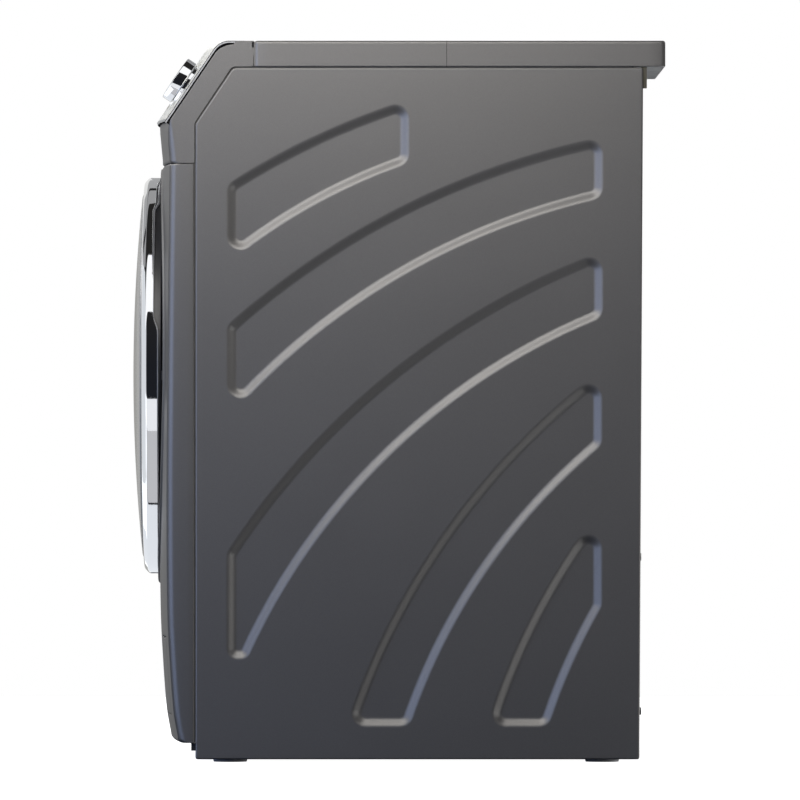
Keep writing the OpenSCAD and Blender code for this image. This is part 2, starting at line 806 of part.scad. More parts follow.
module heater() {
  tube_r = 4;
  z = drum_z - 250;
  color("silver") {
    both_sides() y_rod(35, z, tube_r, -140, 150);
    translate([-35, -140, z]) rotate([0, 90, 0]) cylinder(h = 70, r = tube_r, $fn = 32);
    box([-42, 147, 194], [42, 158, 210]);
  }
}

module damper_rods() {
  color("silver") both_sides() translate([damper_x, damper_y, 42]) cylinder(h = 194, r = 6.93, $fn = 48);
}

// ---------- Drum ----------

module drum_shell() {
  t = 1.2;
  color("silver") turned([
    [165, -185], [165, -195], [drum_r, -195], [drum_r, 104], [16, 104], [16, 104 - t], [drum_r - t, 104 - t],
    [drum_r - t, -195 + t], [165 + t, -195 + t], [165 + t, -185]
  ]);
}

module drum_spider() {
  color("darkgray") difference() {
    union() {
      axis_ring(38, 15.2, 104.3, 121);
      on_drum_axis() for (a = [90, 210, 330]) rotate([0, 0, a]) box([20, -18, 104.3], [226, 18, 114]);
    }
    axis_ring(15.2, 0, 100, 125);
  }
}

module drum_lifters() {
  color("gainsboro") on_drum_axis() for (a = [90, 210, 330]) rotate([0, 0, a]) translate([0, 0, -170])
    linear_extrude(255) polygon([[236, -30], [236, 30], [190, 9], [186, 5], [186, -5], [190, -9]]);
}

module drum_shaft() {
  color("silver") {
    axis_ring(15, 0, 105, 166);
    axis_ring(12.5, 0, 165.5, 218);
  }
}

module drum_pulley() {
  color("darkgray") {
    axis_ring(pulley_r, pulley_r - 7, 196, 214);
    axis_ring(28, 12.6, 196, 214);
    on_drum_axis() for (a = [0 : 60 : 359]) rotate([0, 0, a]) box([26, -9, 201], [pulley_r - 5, 9, 209]);
  }
}

module motor_pulley() {
  color("silver") {
    y_rod(motor_x, motor_z, motor_pulley_r, 196, 214);
    y_rod(motor_x, motor_z, 6, 90, 197);
  }
}

// ---------- Door ----------

module door_ring() {
  lip_r = 8;
  color("silver") difference() {
    turned(concat(
      [[cover_r + 1, ring_front], [ring_r - lip_r, ring_front]],
      [for (a = [15 : 15 : 90]) [ring_r - lip_r + lip_r * sin(a), ring_front + lip_r - lip_r * cos(a)]],
      [[ring_r, ring_back], [ring_r - 2.5, ring_back], [ring_r - 2.5, ring_front + lip_r]],
      [for (a = [60 : -30 : 0])
        [ring_r - lip_r + (lip_r - 2.5) * sin(a), ring_front + lip_r - (lip_r - 2.5) * cos(a)]],
      [[cover_r + 1, ring_front + 2.5]]
    ));
    box([-245, -290.5, drum_z - 28.5], [-222, -270, drum_z + 28.5]);
    intersection() {
      axis_ring(ring_r + 5, ring_r - 6, -284.5, -270);
      translate([0, -300, drum_z]) rotate([-90, 0, 0]) linear_extrude(40)
        polygon([[0, 0], [300 * cos(61), -300 * sin(61)], [300, -300], [300 * cos(12.6), -300 * sin(12.6)]]);
    }
  }
}

module door_cover() {
  t = 3;
  crown_r = 2050;
  edge_r = cover_r - 7;
  function crown(r, back) = -dome_front + back + crown_r - sqrt(crown_r * crown_r - r * r);
  color("gainsboro") turned(concat(
    [for (i = [0 : 7]) [edge_r * i / 7, crown(edge_r * i / 7, 0)]],
    [[cover_r - 3, crown(edge_r, 2)], [cover_r - 0.6, crown(edge_r, 5)], [cover_r, -294.3]],
    [[cover_r - t, -294.3], [cover_r - t, crown(edge_r, 5.5)]],
    [for (i = [7 : -1 : 0]) [(edge_r - 1) * i / 7, crown((edge_r - 1) * i / 7, t)]]
  ));
}

module door_frame() {
  color("black") difference() {
    union() {
      turned([
        [195, -293], [227, -293], [231.6, -288.4], [231.6, -276], [172, -276], [172, -274], [169.2, -274],
        [169.2, -276.4], [172, -276.4], [172, -278.8], [228.6, -278.8], [228.6, -290.2], [195, -290.2]
      ]);
      axis_ring(175, 172, -291, -276.5);
      for (z = [-13, 7]) box([206, -291, drum_z + z], [220, -277, drum_z + z + 6]);
    }
    box([203, -280, drum_z - 6.5], [224, -270, drum_z + 6.5]);
    box([-240, -288.9, drum_z - 27.5], [-190, -280.6, drum_z + 27.5]);
    translate([hook_x, hook_y, drum_z - 30]) cylinder(h = 60, r = 1.86, $fn = 32);
  }
}

module door_glass() {
  t = 4;
  color("lightcyan") turned([
    [171.6, -281], [171.6, -276.8], [168.6, -276.8], [142, -194], [128, -188], [0, -186], [0, -186 - t],
    [126, -188 - t], [139, -194 - t], [164, -278], [164, -281]
  ]);
}

module door_hinge_arm() {
  color("silver") translate([0, 0, drum_z]) {
    translate([hinge_x, hinge_y, -26.5]) cylinder(h = 53, r = 4.5, $fn = 48);
    translate([hinge_x, hinge_y, -37]) cylinder(h = 74, r = 2.5, $fn = 48);
    box([hinge_x, -288.5, -25], [-195, -281.2, 25]);
  }
}

module door_hook() {
  color("silver") translate([hook_x, 0, drum_z]) {
    translate([0, hook_y, -12.5]) cylinder(h = 25, r = 1.8, $fn = 32);
    translate([0, hook_y, -5.5]) cylinder(h = 11, r = 4, $fn = 32);
    box([-2.5, hook_y, -5.5], [2.5, -243, 5.5]);
    box([-2.5, -248, -5.5], [6, -243, 5.5]);
  }
}

// ---------- Detergent drawer ----------

module drawer_front() {
  color("gainsboro") bowed_strip(slope_path(drawer_z, 0), 4, drawer_x);
}

module drawer_tray() {
  low = [drawer_x[0] + 1.5, -222, 762];
  high = [drawer_x[1] - 1.5, -30, 796];
  wall_t = 2;
  function front_at(x, z) = slope_y(x, z, 5.5);
  module wall(x) from_side(x, x + wall_t) polygon([
    [high[1], low[2]], [high[1], high[2]], [front_at(x, high[2]), high[2]], [front_at(x, low[2]), low[2]]
  ]);
  color("white") {
    for (x = [low[0], -225, -170, high[0] - wall_t]) wall(x);
    translate([0, 0, low[2]]) linear_extrude(wall_t) polygon(concat(
      [[high[0], high[1]], [low[0], high[1]]],
      [for (i = [0 : 6]) let (x = low[0] + (high[0] - low[0]) * i / 6) [x, front_at(x, low[2] + 1)]]
    ));
    box([low[0], high[1] - wall_t, low[2]], high);
    bowed_strip(slope_path([low[2], high[2]], 4.3), 3, [low[0], high[0]]);
  }
}

// ---------- Knob and buttons ----------

module program_knob() {
  color("silver") on_slope(knob_x, knob_v) {
    translate([0, 0, 2.8]) cylinder(h = knob_h, d = knob_d, $fn = 96);
    translate([0, 0, -16]) cylinder(h = 20, r = 3, $fn = 32);
  }
}

module push_button(v) {
  color("silver") on_slope(button_x, v) {
    translate([0, 0, -9]) cylinder(h = 11, d = button_d, $fn = 48);
    translate([0, 0, -9]) cylinder(h = 2, d = button_d + 4, $fn = 48);
  }
}

module power_button() push_button(button_v[0]);

module start_button() push_button(button_v[1]);

side_panel_right();
side_panel_left();
back_panel();
base_tray();
front_panel();
control_housing();
control_fascia();
display_window();
top_plate();
rear_clips();
cross_braces();
door_gasket();
hinge_bracket();
door_lock();
dispenser_housing();
inlet_valve();
control_board();
drain_pump();
drain_hose();
sump_hose();
fill_hose();
transit_caps();
mains_gland();
suspension_springs();
damper_cylinders();
cabinet_screws();
foot_front_left();
foot_front_right();
foot_rear_left();
foot_rear_right();
service_flap();
pump_filter();
pump_impeller();
tub_front();
tub_rear();
front_counterweight();
top_counterweight();
drum_bearings();
shaft_seal();
motor_housing();
drive_belt();
heater();
damper_rods();
drum_shell();
drum_spider();
drum_lifters();
drum_shaft();
drum_pulley();
motor_pulley();
door_ring();
door_cover();
door_frame();
door_glass();
door_hinge_arm();
door_hook();
drawer_front();
drawer_tray();
program_knob();
power_button();
start_button();
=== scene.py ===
"""Looks of a front-loading washing machine: graphite cabinet, silver control panel, chrome-ringed door."""

import math

import bmesh
import bpy
import numpy as np
from mathutils import Matrix, Vector
from mathutils.geometry import delaunay_2d_cdt


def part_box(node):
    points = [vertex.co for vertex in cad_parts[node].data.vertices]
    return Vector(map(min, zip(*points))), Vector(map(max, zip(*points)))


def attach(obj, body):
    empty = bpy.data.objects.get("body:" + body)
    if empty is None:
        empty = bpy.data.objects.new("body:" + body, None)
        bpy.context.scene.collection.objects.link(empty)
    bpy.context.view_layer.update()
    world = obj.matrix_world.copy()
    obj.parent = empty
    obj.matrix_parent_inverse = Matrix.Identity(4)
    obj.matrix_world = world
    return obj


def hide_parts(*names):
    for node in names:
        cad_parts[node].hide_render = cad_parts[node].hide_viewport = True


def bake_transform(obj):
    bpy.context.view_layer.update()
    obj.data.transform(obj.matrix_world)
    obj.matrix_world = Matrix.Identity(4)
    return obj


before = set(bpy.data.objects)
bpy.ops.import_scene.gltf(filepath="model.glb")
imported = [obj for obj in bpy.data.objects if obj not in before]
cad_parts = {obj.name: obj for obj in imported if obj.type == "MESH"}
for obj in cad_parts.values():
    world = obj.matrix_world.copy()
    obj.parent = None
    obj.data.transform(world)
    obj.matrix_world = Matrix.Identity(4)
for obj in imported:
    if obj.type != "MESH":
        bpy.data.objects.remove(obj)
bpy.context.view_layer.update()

MM = 0.001


def corners(node):
    """Lowest and highest corner of a CAD node, in millimetres."""
    low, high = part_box(node)
    return low / MM, high / MM


# ---------- Dimensions, in millimetres ----------

side_low, side_high = corners("side_panel_right")
HALF_W = side_high.x
SIDE_FRONT, SIDE_REAR = side_low.y, side_high.y
BASE_Z, SIDE_TOP = side_low.z, side_high.z
plate_low, plate_high = corners("top_plate")
ring_low, ring_high = corners("door_ring")
RING_R = ring_high.x
DRUM_Z = (ring_low.z + ring_high.z) / 2
RING_FRONT = -300.5
COVER_R = corners("door_cover")[1].x
DOME_FRONT = corners("door_cover")[0].y
SEAM_Z = 699.0
CHAMFER = ((SIDE_FRONT, 745.0), (-191.0, SIDE_TOP))
BOW = 13.0
PANEL_BOW = 16.0
LEAN = math.radians(34)
SIN, COS = math.sin(LEAN), math.cos(LEAN)
QUARTER = math.pi / 2
LIP = (-284.7, 751.0)
STAMP_DEPTH = 5.0
FOLD_R = 1.9
SIDES = (("right", 1), ("left", -1))


# ---------- Plane geometry ----------

def filleted(points, closed=True, steps=6):
    """Outline through (u, v, radius) corners, each rounded to its radius."""
    out = []
    for i, (u, v, r) in enumerate(points):
        here = Vector((u, v))
        if r == 0 or (not closed and i in (0, len(points) - 1)):
            out.append(here)
            continue
        a = (Vector(points[i - 1][:2]) - here).normalized()
        b = (Vector(points[(i + 1) % len(points)][:2]) - here).normalized()
        half = a.angle(b) / 2
        centre = here + (a + b).normalized() * r / math.sin(half)
        start = here + a * r / math.tan(half) - centre
        end = here + b * r / math.tan(half) - centre
        first = math.atan2(start.y, start.x)
        turn = (math.atan2(end.y, end.x) - first + math.pi) % math.tau - math.pi
        for k in range(steps + 1):
            t = first + turn * k / steps
            out.append(centre + r * Vector((math.cos(t), math.sin(t))))
    return out


def moved(loop, d):
    """Closed outline moved by d to its left, which is inwards when it runs anticlockwise."""
    out = []
    for i, p in enumerate(loop):
        a = (p - loop[i - 1]).normalized()
        b = (loop[(i + 1) % len(loop)] - p).normalized()
        left = Vector((-a.y, a.x))
        middle = (left + Vector((-b.y, b.x))).normalized()
        out.append(p + middle * d / middle.dot(left))
    return out


def arc(a, b, r, n):
    """n + 1 points of the arc of radius r from a to b that bulges to the left."""
    a, b = Vector(a), Vector(b)
    chord = b - a
    right = Vector((chord.y, -chord.x)).normalized()
    centre = (a + b) / 2 + right * math.sqrt(r * r - chord.length_squared / 4)
    first, last = (math.atan2(*(p - centre).yx) for p in (a, b))
    return [centre + r * Vector((math.cos(t), math.sin(t))) for t in np.linspace(first, last, n + 1)]


def turns(n):
    """n equal steps round a circle."""
    return np.linspace(0, math.tau, n, endpoint=False)


def circle(u, v, r, n=64):
    return [Vector((u + r * math.cos(t), v + r * math.sin(t))) for t in turns(n)]


def rounded_box(u0, v0, u1, v1, r, steps=5):
    return filleted([(u0, v0, r), (u1, v0, r), (u1, v1, r), (u0, v1, r)], steps=steps)


def dense(loop, step):
    """Closed outline with no edge longer than step."""
    out = []
    for i, p in enumerate(loop):
        q = loop[(i + 1) % len(loop)]
        n = max(1, math.ceil((q - p).length / step))
        out += [p.lerp(q, k / n) for k in range(n)]
    return out


def grid_outline(us, vs):
    """Anticlockwise outline of the box that the lines us and vs fill, through their ends."""
    up = [Vector((us[-1], v)) for v in vs[1:-1]]
    down = [Vector((us[0], v)) for v in reversed(vs[1:-1])]
    return [Vector((u, vs[0])) for u in us] + up + [Vector((u, vs[-1])) for u in reversed(us)] + down


def within(points, loop):
    """Which of the points lie inside the closed outline."""
    inside = np.zeros(len(points), bool)
    for i, (x1, y1) in enumerate(loop):
        x0, y0 = loop[i - 1]
        if y0 != y1:
            crosses = (points[:, 1] < y0) != (points[:, 1] < y1)
            inside ^= crosses & (points[:, 0] < (x1 - x0) * (points[:, 1] - y0) / (y1 - y0) + x0)
    return inside


def gap_to(points, loop):
    """Distance of each point from the closed outline."""
    near = np.full(len(points), 1e9)
    for i, end in enumerate(loop):
        start = np.array(loop[i - 1], float)
        edge = np.array(end, float) - start
        t = np.clip(((points - start) @ edge) / max(edge @ edge, 1e-12), 0, 1)
        near = np.minimum(near, np.hypot(*(points - start - t[:, None] * edge).T))
    return near


def smooth(t):
    t = min(1.0, max(0.0, t))
    return t * t * (3 - 2 * t)


def path_of(points):
    """Open path as numpy columns, with the distance along it as the first."""
    p = np.array([tuple(q) for q in points], float)
    along = np.concatenate([[0], np.cumsum(np.hypot(*np.diff(p[:, :2], axis=0).T))])
    return np.column_stack([along, p])


def at(path, s):
    """The path's values at distance s."""
    return [float(np.interp(s, path[:, 0], path[:, k])) for k in range(1, path.shape[1])]


# ---------- Mesh building ----------

class Shape:
    """A mesh under construction, in millimetres."""

    def __init__(self):
        self.bm = bmesh.new()

    def row(self, points):
        return [self.bm.verts.new(p) for p in points]

    def strip(self, a, b, closed=True):
        """Quads between two rows of vertices."""
        for i in range(len(a) if closed else len(a) - 1):
            j = (i + 1) % len(a)
            self.bm.faces.new((a[i], a[j], b[j], b[i]))

    def skin(self, rows, closed=True, ends=False):
        """Quads over a list of rows of points, with a face on each end row if wanted."""
        made = [self.row(r) for r in rows]
        for a, b in zip(made, made[1:]):
            self.strip(a, b, closed)
        if ends:
            self.bm.faces.new(made[0])
            self.bm.faces.new(made[-1])

    def edge(self, outline, levels, place, ends=False):
        """Quads down the edge of an outline, from (inset, depth) levels; place takes u, v and depth."""
        rows = [[place(p.x, p.y, depth) for p in moved(outline, inset)] for inset, depth in levels]
        self.skin(rows, ends=ends)

    def patch(self, outer, holes, place, us=(), vs=()):
        """Triangles over the outline less its holes, with inner points where the lines us and vs cross."""
        loops = [outer, *holes]
        points = [p for loop in loops for p in loop]
        edges = []
        for loop in loops:
            n = len(edges)
            edges += [(n + i, n + (i + 1) % len(loop)) for i in range(len(loop))]
        if len(us) and len(vs):
            grid = np.array([(u, v) for u in us for v in vs], float)
            keep = np.ones(len(grid), bool)
            spread = 0.45 * min(float(np.min(np.diff(us))), float(np.min(np.diff(vs))))
            for loop in loops:
                inside = within(grid, loop)
                keep &= (inside if loop is outer else ~inside) & (gap_to(grid, loop) > spread)
            points = points + [Vector(p) for p in grid[keep]]
        flat, _, faces, _, _, _ = delaunay_2d_cdt(points, edges, [], 1, 1e-5)
        made = self.row([place(p.x, p.y) for p in flat])
        middles = np.array([sum((flat[i] for i in f), Vector((0, 0))) / len(f) for f in faces])
        cut = np.zeros(len(faces), bool)
        for hole in holes:
            cut |= within(middles, hole)
        for f, in_hole in zip(faces, cut):
            if not in_hole:
                self.bm.faces.new([made[i] for i in f])

    def face(self, direction=(0, 0, 0)):
        """Turns an open sheet's faces so that they agree, and their sum points along direction if given."""
        bm = self.bm
        bmesh.ops.remove_doubles(bm, verts=bm.verts, dist=0.002)
        bmesh.ops.recalc_face_normals(bm, faces=bm.faces)
        total = sum((f.normal * f.calc_area() for f in bm.faces), Vector())
        if total.dot(Vector(direction)) < 0:
            bmesh.ops.reverse_faces(bm, faces=bm.faces)

    def done(self, name, looks, body, nodes=(), wall=0.0, mirror=False, sharp=35):
        """The finished object, in metres, riding on its body. A wall makes an open sheet a closed one."""
        bm = self.bm
        bmesh.ops.remove_doubles(bm, verts=bm.verts, dist=0.002)
        bmesh.ops.dissolve_degenerate(bm, edges=bm.edges, dist=0.0005)
        if wall == 0.0:
            bmesh.ops.recalc_face_normals(bm, faces=bm.faces)
        if mirror:
            bmesh.ops.scale(bm, vec=(-1, 1, 1), verts=bm.verts)
            bmesh.ops.reverse_faces(bm, faces=bm.faces)
        bmesh.ops.scale(bm, vec=(MM, MM, MM), verts=bm.verts)
        mesh = bpy.data.meshes.new(name)
        bm.to_mesh(mesh)
        bm.free()
        obj = bpy.data.objects.new(name, mesh)
        bpy.context.scene.collection.objects.link(obj)
        if wall:
            solid = obj.modifiers.new("wall", "SOLIDIFY")
            solid.thickness = wall * MM
            solid.offset = -1
            graph = bpy.context.evaluated_depsgraph_get()
            made = bpy.data.meshes.new_from_object(obj.evaluated_get(graph))
            obj.modifiers.clear()
            obj.data = made
            for vertex in made.vertices:
                vertex.co.x = max(-HALF_W * MM, min(HALF_W * MM, vertex.co.x))
        for polygon in obj.data.polygons:
            polygon.use_smooth = True
        obj.data.set_sharp_from_angle(angle=math.radians(sharp))
        for look in looks if isinstance(looks, list) else [looks]:
            obj.data.materials.append(look)
        if body:
            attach(obj, body)
        if nodes:
            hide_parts(*nodes)
        return obj


def around_drum(r, y, t):
    """Place at radius r and angle t about the drum's axis."""
    return (r * math.cos(t), y, DRUM_Z + r * math.sin(t))


def lathe(shape, profile, n=192, bend=lambda r, y, t: (r, y)):
    """Closed surface of revolution about the drum's axis, from a closed outline of (radius, y) points."""
    rows = [[around_drum(*bend(r, y, t), t) for t in turns(n)] for r, y in profile]
    shape.skin(rows + [rows[0]])


def lathe_z(shape, profile, x, y, n=64):
    """The same about a vertical axis, from (radius, z) points."""
    rows = [[(x + r * math.cos(t), y + r * math.sin(t), z) for t in turns(n)] for r, z in profile]
    shape.skin(rows + [rows[0]])


def prism(shape, outline, place, low, high, r=0.0, steps=4):
    """Solid on an anticlockwise outline from low to high, its end edges rounded by r."""
    angles = [QUARTER * k / steps for k in range(steps + 1)] if r else [QUARTER]
    levels = [(r - r * math.sin(t), low + r - r * math.cos(t)) for t in angles]
    levels += [(inset, low + high - h) for inset, h in reversed(levels)]
    shape.edge(outline, levels, place, ends=True)


def inlay(shape, outline, levels, us, vs, place, face=None):
    """Slab that fills an opening: its edge from (inset, depth) levels, then its face and its back."""
    shape.edge(outline, levels, place)
    (inset, front), (_, back) = levels[0], levels[-1]
    shape.patch(moved(outline, inset), [], face or (lambda u, v: place(u, v, front)), us, vs)
    shape.patch(outline, [], lambda u, v: place(u, v, back), us, vs)


def tube(shape, points, radius, sides=12):
    """Round tube along points; radius is a number or a function of the place along it, 0 to 1."""
    pts = [Vector(p) for p in points]
    rows = []
    side = None
    for i, p in enumerate(pts):
        ahead = (pts[min(i + 1, len(pts) - 1)] - pts[max(i - 1, 0)]).normalized()
        if side is None:
            side = ahead.orthogonal().normalized()
        side = (side - ahead * side.dot(ahead)).normalized()
        up = ahead.cross(side)
        r = radius(i / (len(pts) - 1)) if callable(radius) else radius
        rows.append([p + r * (side * math.cos(t) + up * math.sin(t)) for t in turns(sides)])
    shape.skin(rows, ends=True)


def curve_through(points, per_span=8):
    """Smooth curve through points, as a Catmull-Rom spline."""
    p = [Vector(q) for q in points]
    p = [2 * p[0] - p[1], *p, 2 * p[-1] - p[-2]]
    out = []
    for a, b, c, d in zip(p, p[1:], p[2:], p[3:]):
        for k in range(per_span):
            t = k / per_span
            out.append(0.5 * (2 * b + (c - a) * t + (2 * a - 5 * b + 4 * c - d) * t * t
                              + (3 * b - a - 3 * c + d) * t ** 3))
    return [*out, p[-2]]


# ---------- Materials ----------

def material(name, colour, roughness, metallic=0.0, **sockets):
    """A Principled material; sockets are further inputs by name, with spaces as underscores."""
    m = bpy.data.materials.new(name)
    m.use_nodes = True
    shader = m.node_tree.nodes["Principled BSDF"]
    shader.inputs["Base Color"].default_value = (*colour, 1)
    shader.inputs["Roughness"].default_value = roughness
    shader.inputs["Metallic"].default_value = metallic
    for key, value in sockets.items():
        shader.inputs[key.replace("_", " ")].default_value = value
    return m


def texture(m, kind, scale, stretch=(1, 1, 1)):
    """A texture node on the object's own coordinates; scale is in features per metre."""
    nodes, links = m.node_tree.nodes, m.node_tree.links
    where = nodes.new("ShaderNodeTexCoord")
    mapping = nodes.new("ShaderNodeMapping")
    mapping.inputs["Scale"].default_value = stretch
    node = nodes.new("ShaderNodeTex" + kind)
    if "Scale" in node.inputs:
        node.inputs["Scale"].default_value = scale
    links.new(where.outputs["Object"], mapping.inputs["Vector"])
    links.new(mapping.outputs["Vector"], node.inputs["Vector"])
    return node


def noise(m, scale, detail, stretch=(1, 1, 1)):
    node = texture(m, "Noise", scale, stretch)
    node.inputs["Detail"].default_value = detail
    return node.outputs["Fac"]


def wire(m, source, socket):
    m.node_tree.links.new(source, m.node_tree.nodes["Principled BSDF"].inputs[socket])


def tint(m, source, *stops):
    """Sets the base colour by a texture's value; stops are (place, colour)."""
    node = m.node_tree.nodes.new("ShaderNodeValToRGB")
    m.node_tree.links.new(source, node.inputs["Fac"])
    for element, (place, colour) in zip(node.color_ramp.elements, stops):
        element.position = place
        element.color = (*colour, 1)
    wire(m, node.outputs["Color"], "Base Color")


def shade(m, source, colour, *stops):
    """The same in shades of one colour; stops are (place, share of the colour)."""
    tint(m, source, *((place, tuple(c * share for c in colour)) for place, share in stops))


def gloss(m, source, low, high, start=0.0, end=1.0):
    """Sets the roughness from low to high as a texture's value goes from start to end."""
    node = m.node_tree.nodes.new("ShaderNodeMapRange")
    for key, value in (("From Min", start), ("From Max", end), ("To Min", low), ("To Max", high)):
        node.inputs[key].default_value = value
    m.node_tree.links.new(source, node.inputs["Value"])
    wire(m, node.outputs["Result"], "Roughness")


def bump(m, source, height, distance=0.0002):
    node = m.node_tree.nodes.new("ShaderNodeBump")
    node.inputs["Strength"].default_value = height
    node.inputs["Distance"].default_value = distance
    m.node_tree.links.new(source, node.inputs["Height"])
    wire(m, node.outputs["Normal"], "Normal")


def paint(name, colour, roughness=0.45):
    """Satin metallic paint: fine flakes, a little orange peel and uneven gloss."""
    m = material(name, colour, roughness, 0.55, Coat_Weight=0.12, Coat_Roughness=0.3)
    shade(m, texture(m, "Voronoi", 2600).outputs["Color"], colour, (0.0, 0.9), (1.0, 1.1))
    bump(m, noise(m, 420, 2.0), 0.05)
    gloss(m, noise(m, 9, 3.0), roughness - 0.03, roughness + 0.04)
    return m


def moulded(name, colour, roughness=0.45, grain=900, depth=0.25, **sockets):
    """Moulded plastic with a fine spark-eroded grain."""
    m = material(name, colour, roughness, **sockets)
    shade(m, noise(m, 14, 4.0), colour, (0.3, 0.92), (0.7, 1.06))
    fine = noise(m, grain, 3.0)
    bump(m, fine, depth, 0.0001)
    gloss(m, fine, roughness - 0.06, roughness + 0.08)
    return m


def rubber(name, colour, roughness=0.7):
    """Matt rubber with a dusty bloom."""
    m = material(name, colour, roughness)
    shade(m, noise(m, 40, 6.0), colour, (0.35, 0.8), (0.75, 1.35))
    bump(m, noise(m, 1400, 2.0), 0.3, 0.0001)
    return m


def brushed(name, colour, roughness, stretch, grain=260, depth=0.15):
    """Metal with fine parallel scratches; stretch is short along them and long across them."""
    m = material(name, colour, roughness, 1.0)
    lines = noise(m, grain, 5.0, stretch)
    shade(m, lines, colour, (0.3, 0.82), (0.7, 1.1))
    gloss(m, lines, roughness - 0.08, roughness + 0.12)
    bump(m, lines, depth, 0.00005)
    return m


def galvanised(name, colour):
    """Zinc-coated steel with its spangle."""
    m = material(name, colour, 0.42, 0.9)
    spangle = texture(m, "Voronoi", 90)
    shade(m, spangle.outputs["Color"], colour, (0.0, 0.78), (1.0, 1.12))
    gloss(m, spangle.outputs["Distance"], 0.34, 0.5, 0.0, 0.01)
    bump(m, noise(m, 300, 3.0), 0.08)
    return m


def cast(name, colour, roughness=0.5, grain=500, depth=0.5, metallic=0.9):
    """Cast metal or concrete with a pitted skin."""
    m = material(name, colour, roughness, metallic)
    shade(m, noise(m, 24, 5.0), colour, (0.3, 0.8), (0.7, 1.15))
    bump(m, noise(m, grain, 6.0), depth)
    return m


def chromed(name):
    """Mirror chrome on plastic, with the faint ripple and wipe marks that such plating has."""
    m = material(name, (0.80, 0.81, 0.83), 0.05, 1.0)
    bump(m, noise(m, 22, 1.0), 0.03, 0.0004)
    gloss(m, noise(m, 60, 3.0, (1, 1, 6)), 0.02, 0.06, 0.3, 0.8)
    return m


def circuit_board():
    """Solder mask with a faint pattern of tracks."""
    m = material("circuit_board", (0.015, 0.12, 0.05), 0.3)
    tracks = texture(m, "Voronoi", 160).outputs["Distance"]
    tint(m, tracks, (0.0, (0.02, 0.2, 0.08)), (0.5, (0.01, 0.09, 0.035)))
    return m


def display_glass():
    """Gloss black window with faint smears."""
    m = material("display_glass", (0.006, 0.006, 0.008), 0.06, Coat_Weight=0.6, Coat_Roughness=0.03)
    gloss(m, noise(m, 30, 5.0), 0.05, 0.13, 0.4, 0.8)
    return m


def door_cover_look():
    """Smoked silver gloss round the edge, almost black in the middle."""
    silver, smoke = (0.40, 0.40, 0.385), (0.05, 0.05, 0.052)
    m = material("tinted_cover", silver, 0.16, 0.3, Coat_Weight=0.5, Coat_Roughness=0.05)
    middle = texture(m, "Gradient", 1.0)
    middle.gradient_type = "SPHERICAL"
    mapping = middle.inputs["Vector"].links[0].from_node
    reach = 0.215
    mapping.inputs["Location"].default_value = (0, -DOME_FRONT * MM / reach, -DRUM_Z * MM / reach)
    mapping.inputs["Scale"].default_value = (1 / reach, 1 / reach, 1 / reach)
    tint(m, middle.outputs["Fac"], (0.20, silver), (0.26, smoke))
    gloss(m, noise(m, 35, 3.0), 0.12, 0.2)
    return m


def bowl_glass():
    """Clear glass with a slight waviness."""
    m = material("door_glass", (0.93, 0.97, 0.97), 0.02, Transmission_Weight=1.0, IOR=1.5)
    bump(m, noise(m, 16, 1.0), 0.06, 0.0006)
    return m


GRAPHITE = paint("graphite_paint", (0.150, 0.147, 0.143))
SILVER = paint("fascia_silver", (0.66, 0.66, 0.62), 0.42)
TRIM = moulded("panel_trim", (0.36, 0.36, 0.36), 0.35)
CHROME = chromed("chrome")
# Pale matt plastic on the door ring's rear edge: a painted highlight.
EDGE_HIGHLIGHT = moulded("painted_edge_highlight", (0.85, 0.85, 0.86), 0.3)
BLACK = moulded("black_plastic", (0.018, 0.018, 0.02), 0.38)
# Near-black strips laid into grooves and seams: painted shade.
GAP_SHADE = moulded("painted_gap_shade", (0.003, 0.003, 0.003), 0.8, Specular_IOR_Level=0.1)
GALVANISED = galvanised("galvanised", (0.56, 0.57, 0.58))
# Dark strips behind the side seams: their colour paints the shade seen in the seams.
SEAM_SHADE = rubber("painted_seam_shade", (0.05, 0.048, 0.044))
RAIL = paint("base_rail", (0.035, 0.035, 0.037), 0.5)
CLIP = galvanised("clip_steel", (0.11, 0.105, 0.085))
WHITE = moulded("white_plastic", (0.76, 0.77, 0.77), 0.42)
TUB = moulded("tub_plastic", (0.60, 0.60, 0.58), 0.5, 300, 0.5)
GREY = moulded("grey_plastic", (0.20, 0.20, 0.21), 0.5)
GASKET = rubber("gasket_rubber", (0.17, 0.17, 0.18), 0.55)
HOSE = rubber("hose_rubber", (0.03, 0.03, 0.032))
FOOT = rubber("foot_rubber", (0.30, 0.30, 0.31))
DRUM = brushed("drum_steel", (0.74, 0.74, 0.74), 0.3, (1, 0.06, 1), 90, 0.02)
STEEL = brushed("bright_steel", (0.62, 0.62, 0.62), 0.3, (1, 1, 0.1))
HEATER = brushed("heater_tube", (0.42, 0.40, 0.38), 0.4, (1, 0.1, 1))
DIE_CAST = cast("die_cast", (0.52, 0.52, 0.52))
MOTOR = cast("motor_casing", (0.34, 0.34, 0.35), 0.45)
CONCRETE = cast("concrete", (0.42, 0.41, 0.39), 0.9, 160, 0.9, 0.0)
DAMPER = moulded("damper_plastic", (0.03, 0.03, 0.034), 0.4)
PCB = circuit_board()
DISPLAY = display_glass()
COVER = door_cover_look()
GLASS = bowl_glass()


# ---------- Side panels ----------

# Stamped bands: an upper and a lower arc as (front end, rear end, radius), and any corner.
BANDS = [
    (((-193, 671), (9, 766), 870), ((-193, 592), (9, 703), 680), []),
    (((-193, 507), (235, 723), 930), ((-193, 414), (235, 663), 830), []),
    (((-193, 243), (235, 589), 895), ((-178, 126), (235, 523), 775), [(-193, 126)]),
    (((-52, 47), (234, 448), 845), ((11, 47), (234, 373), 730), []),
    (((112, 47), (234, 284), 785), ((173, 47), (234, 184), 735), []),
]
BAND_CORNER_R = 11
SMALL_CORNER_R = 7
BEVEL_W = 12.5
MARGIN = 0.5
REAR_LEAN = (-1.6, 2.6)


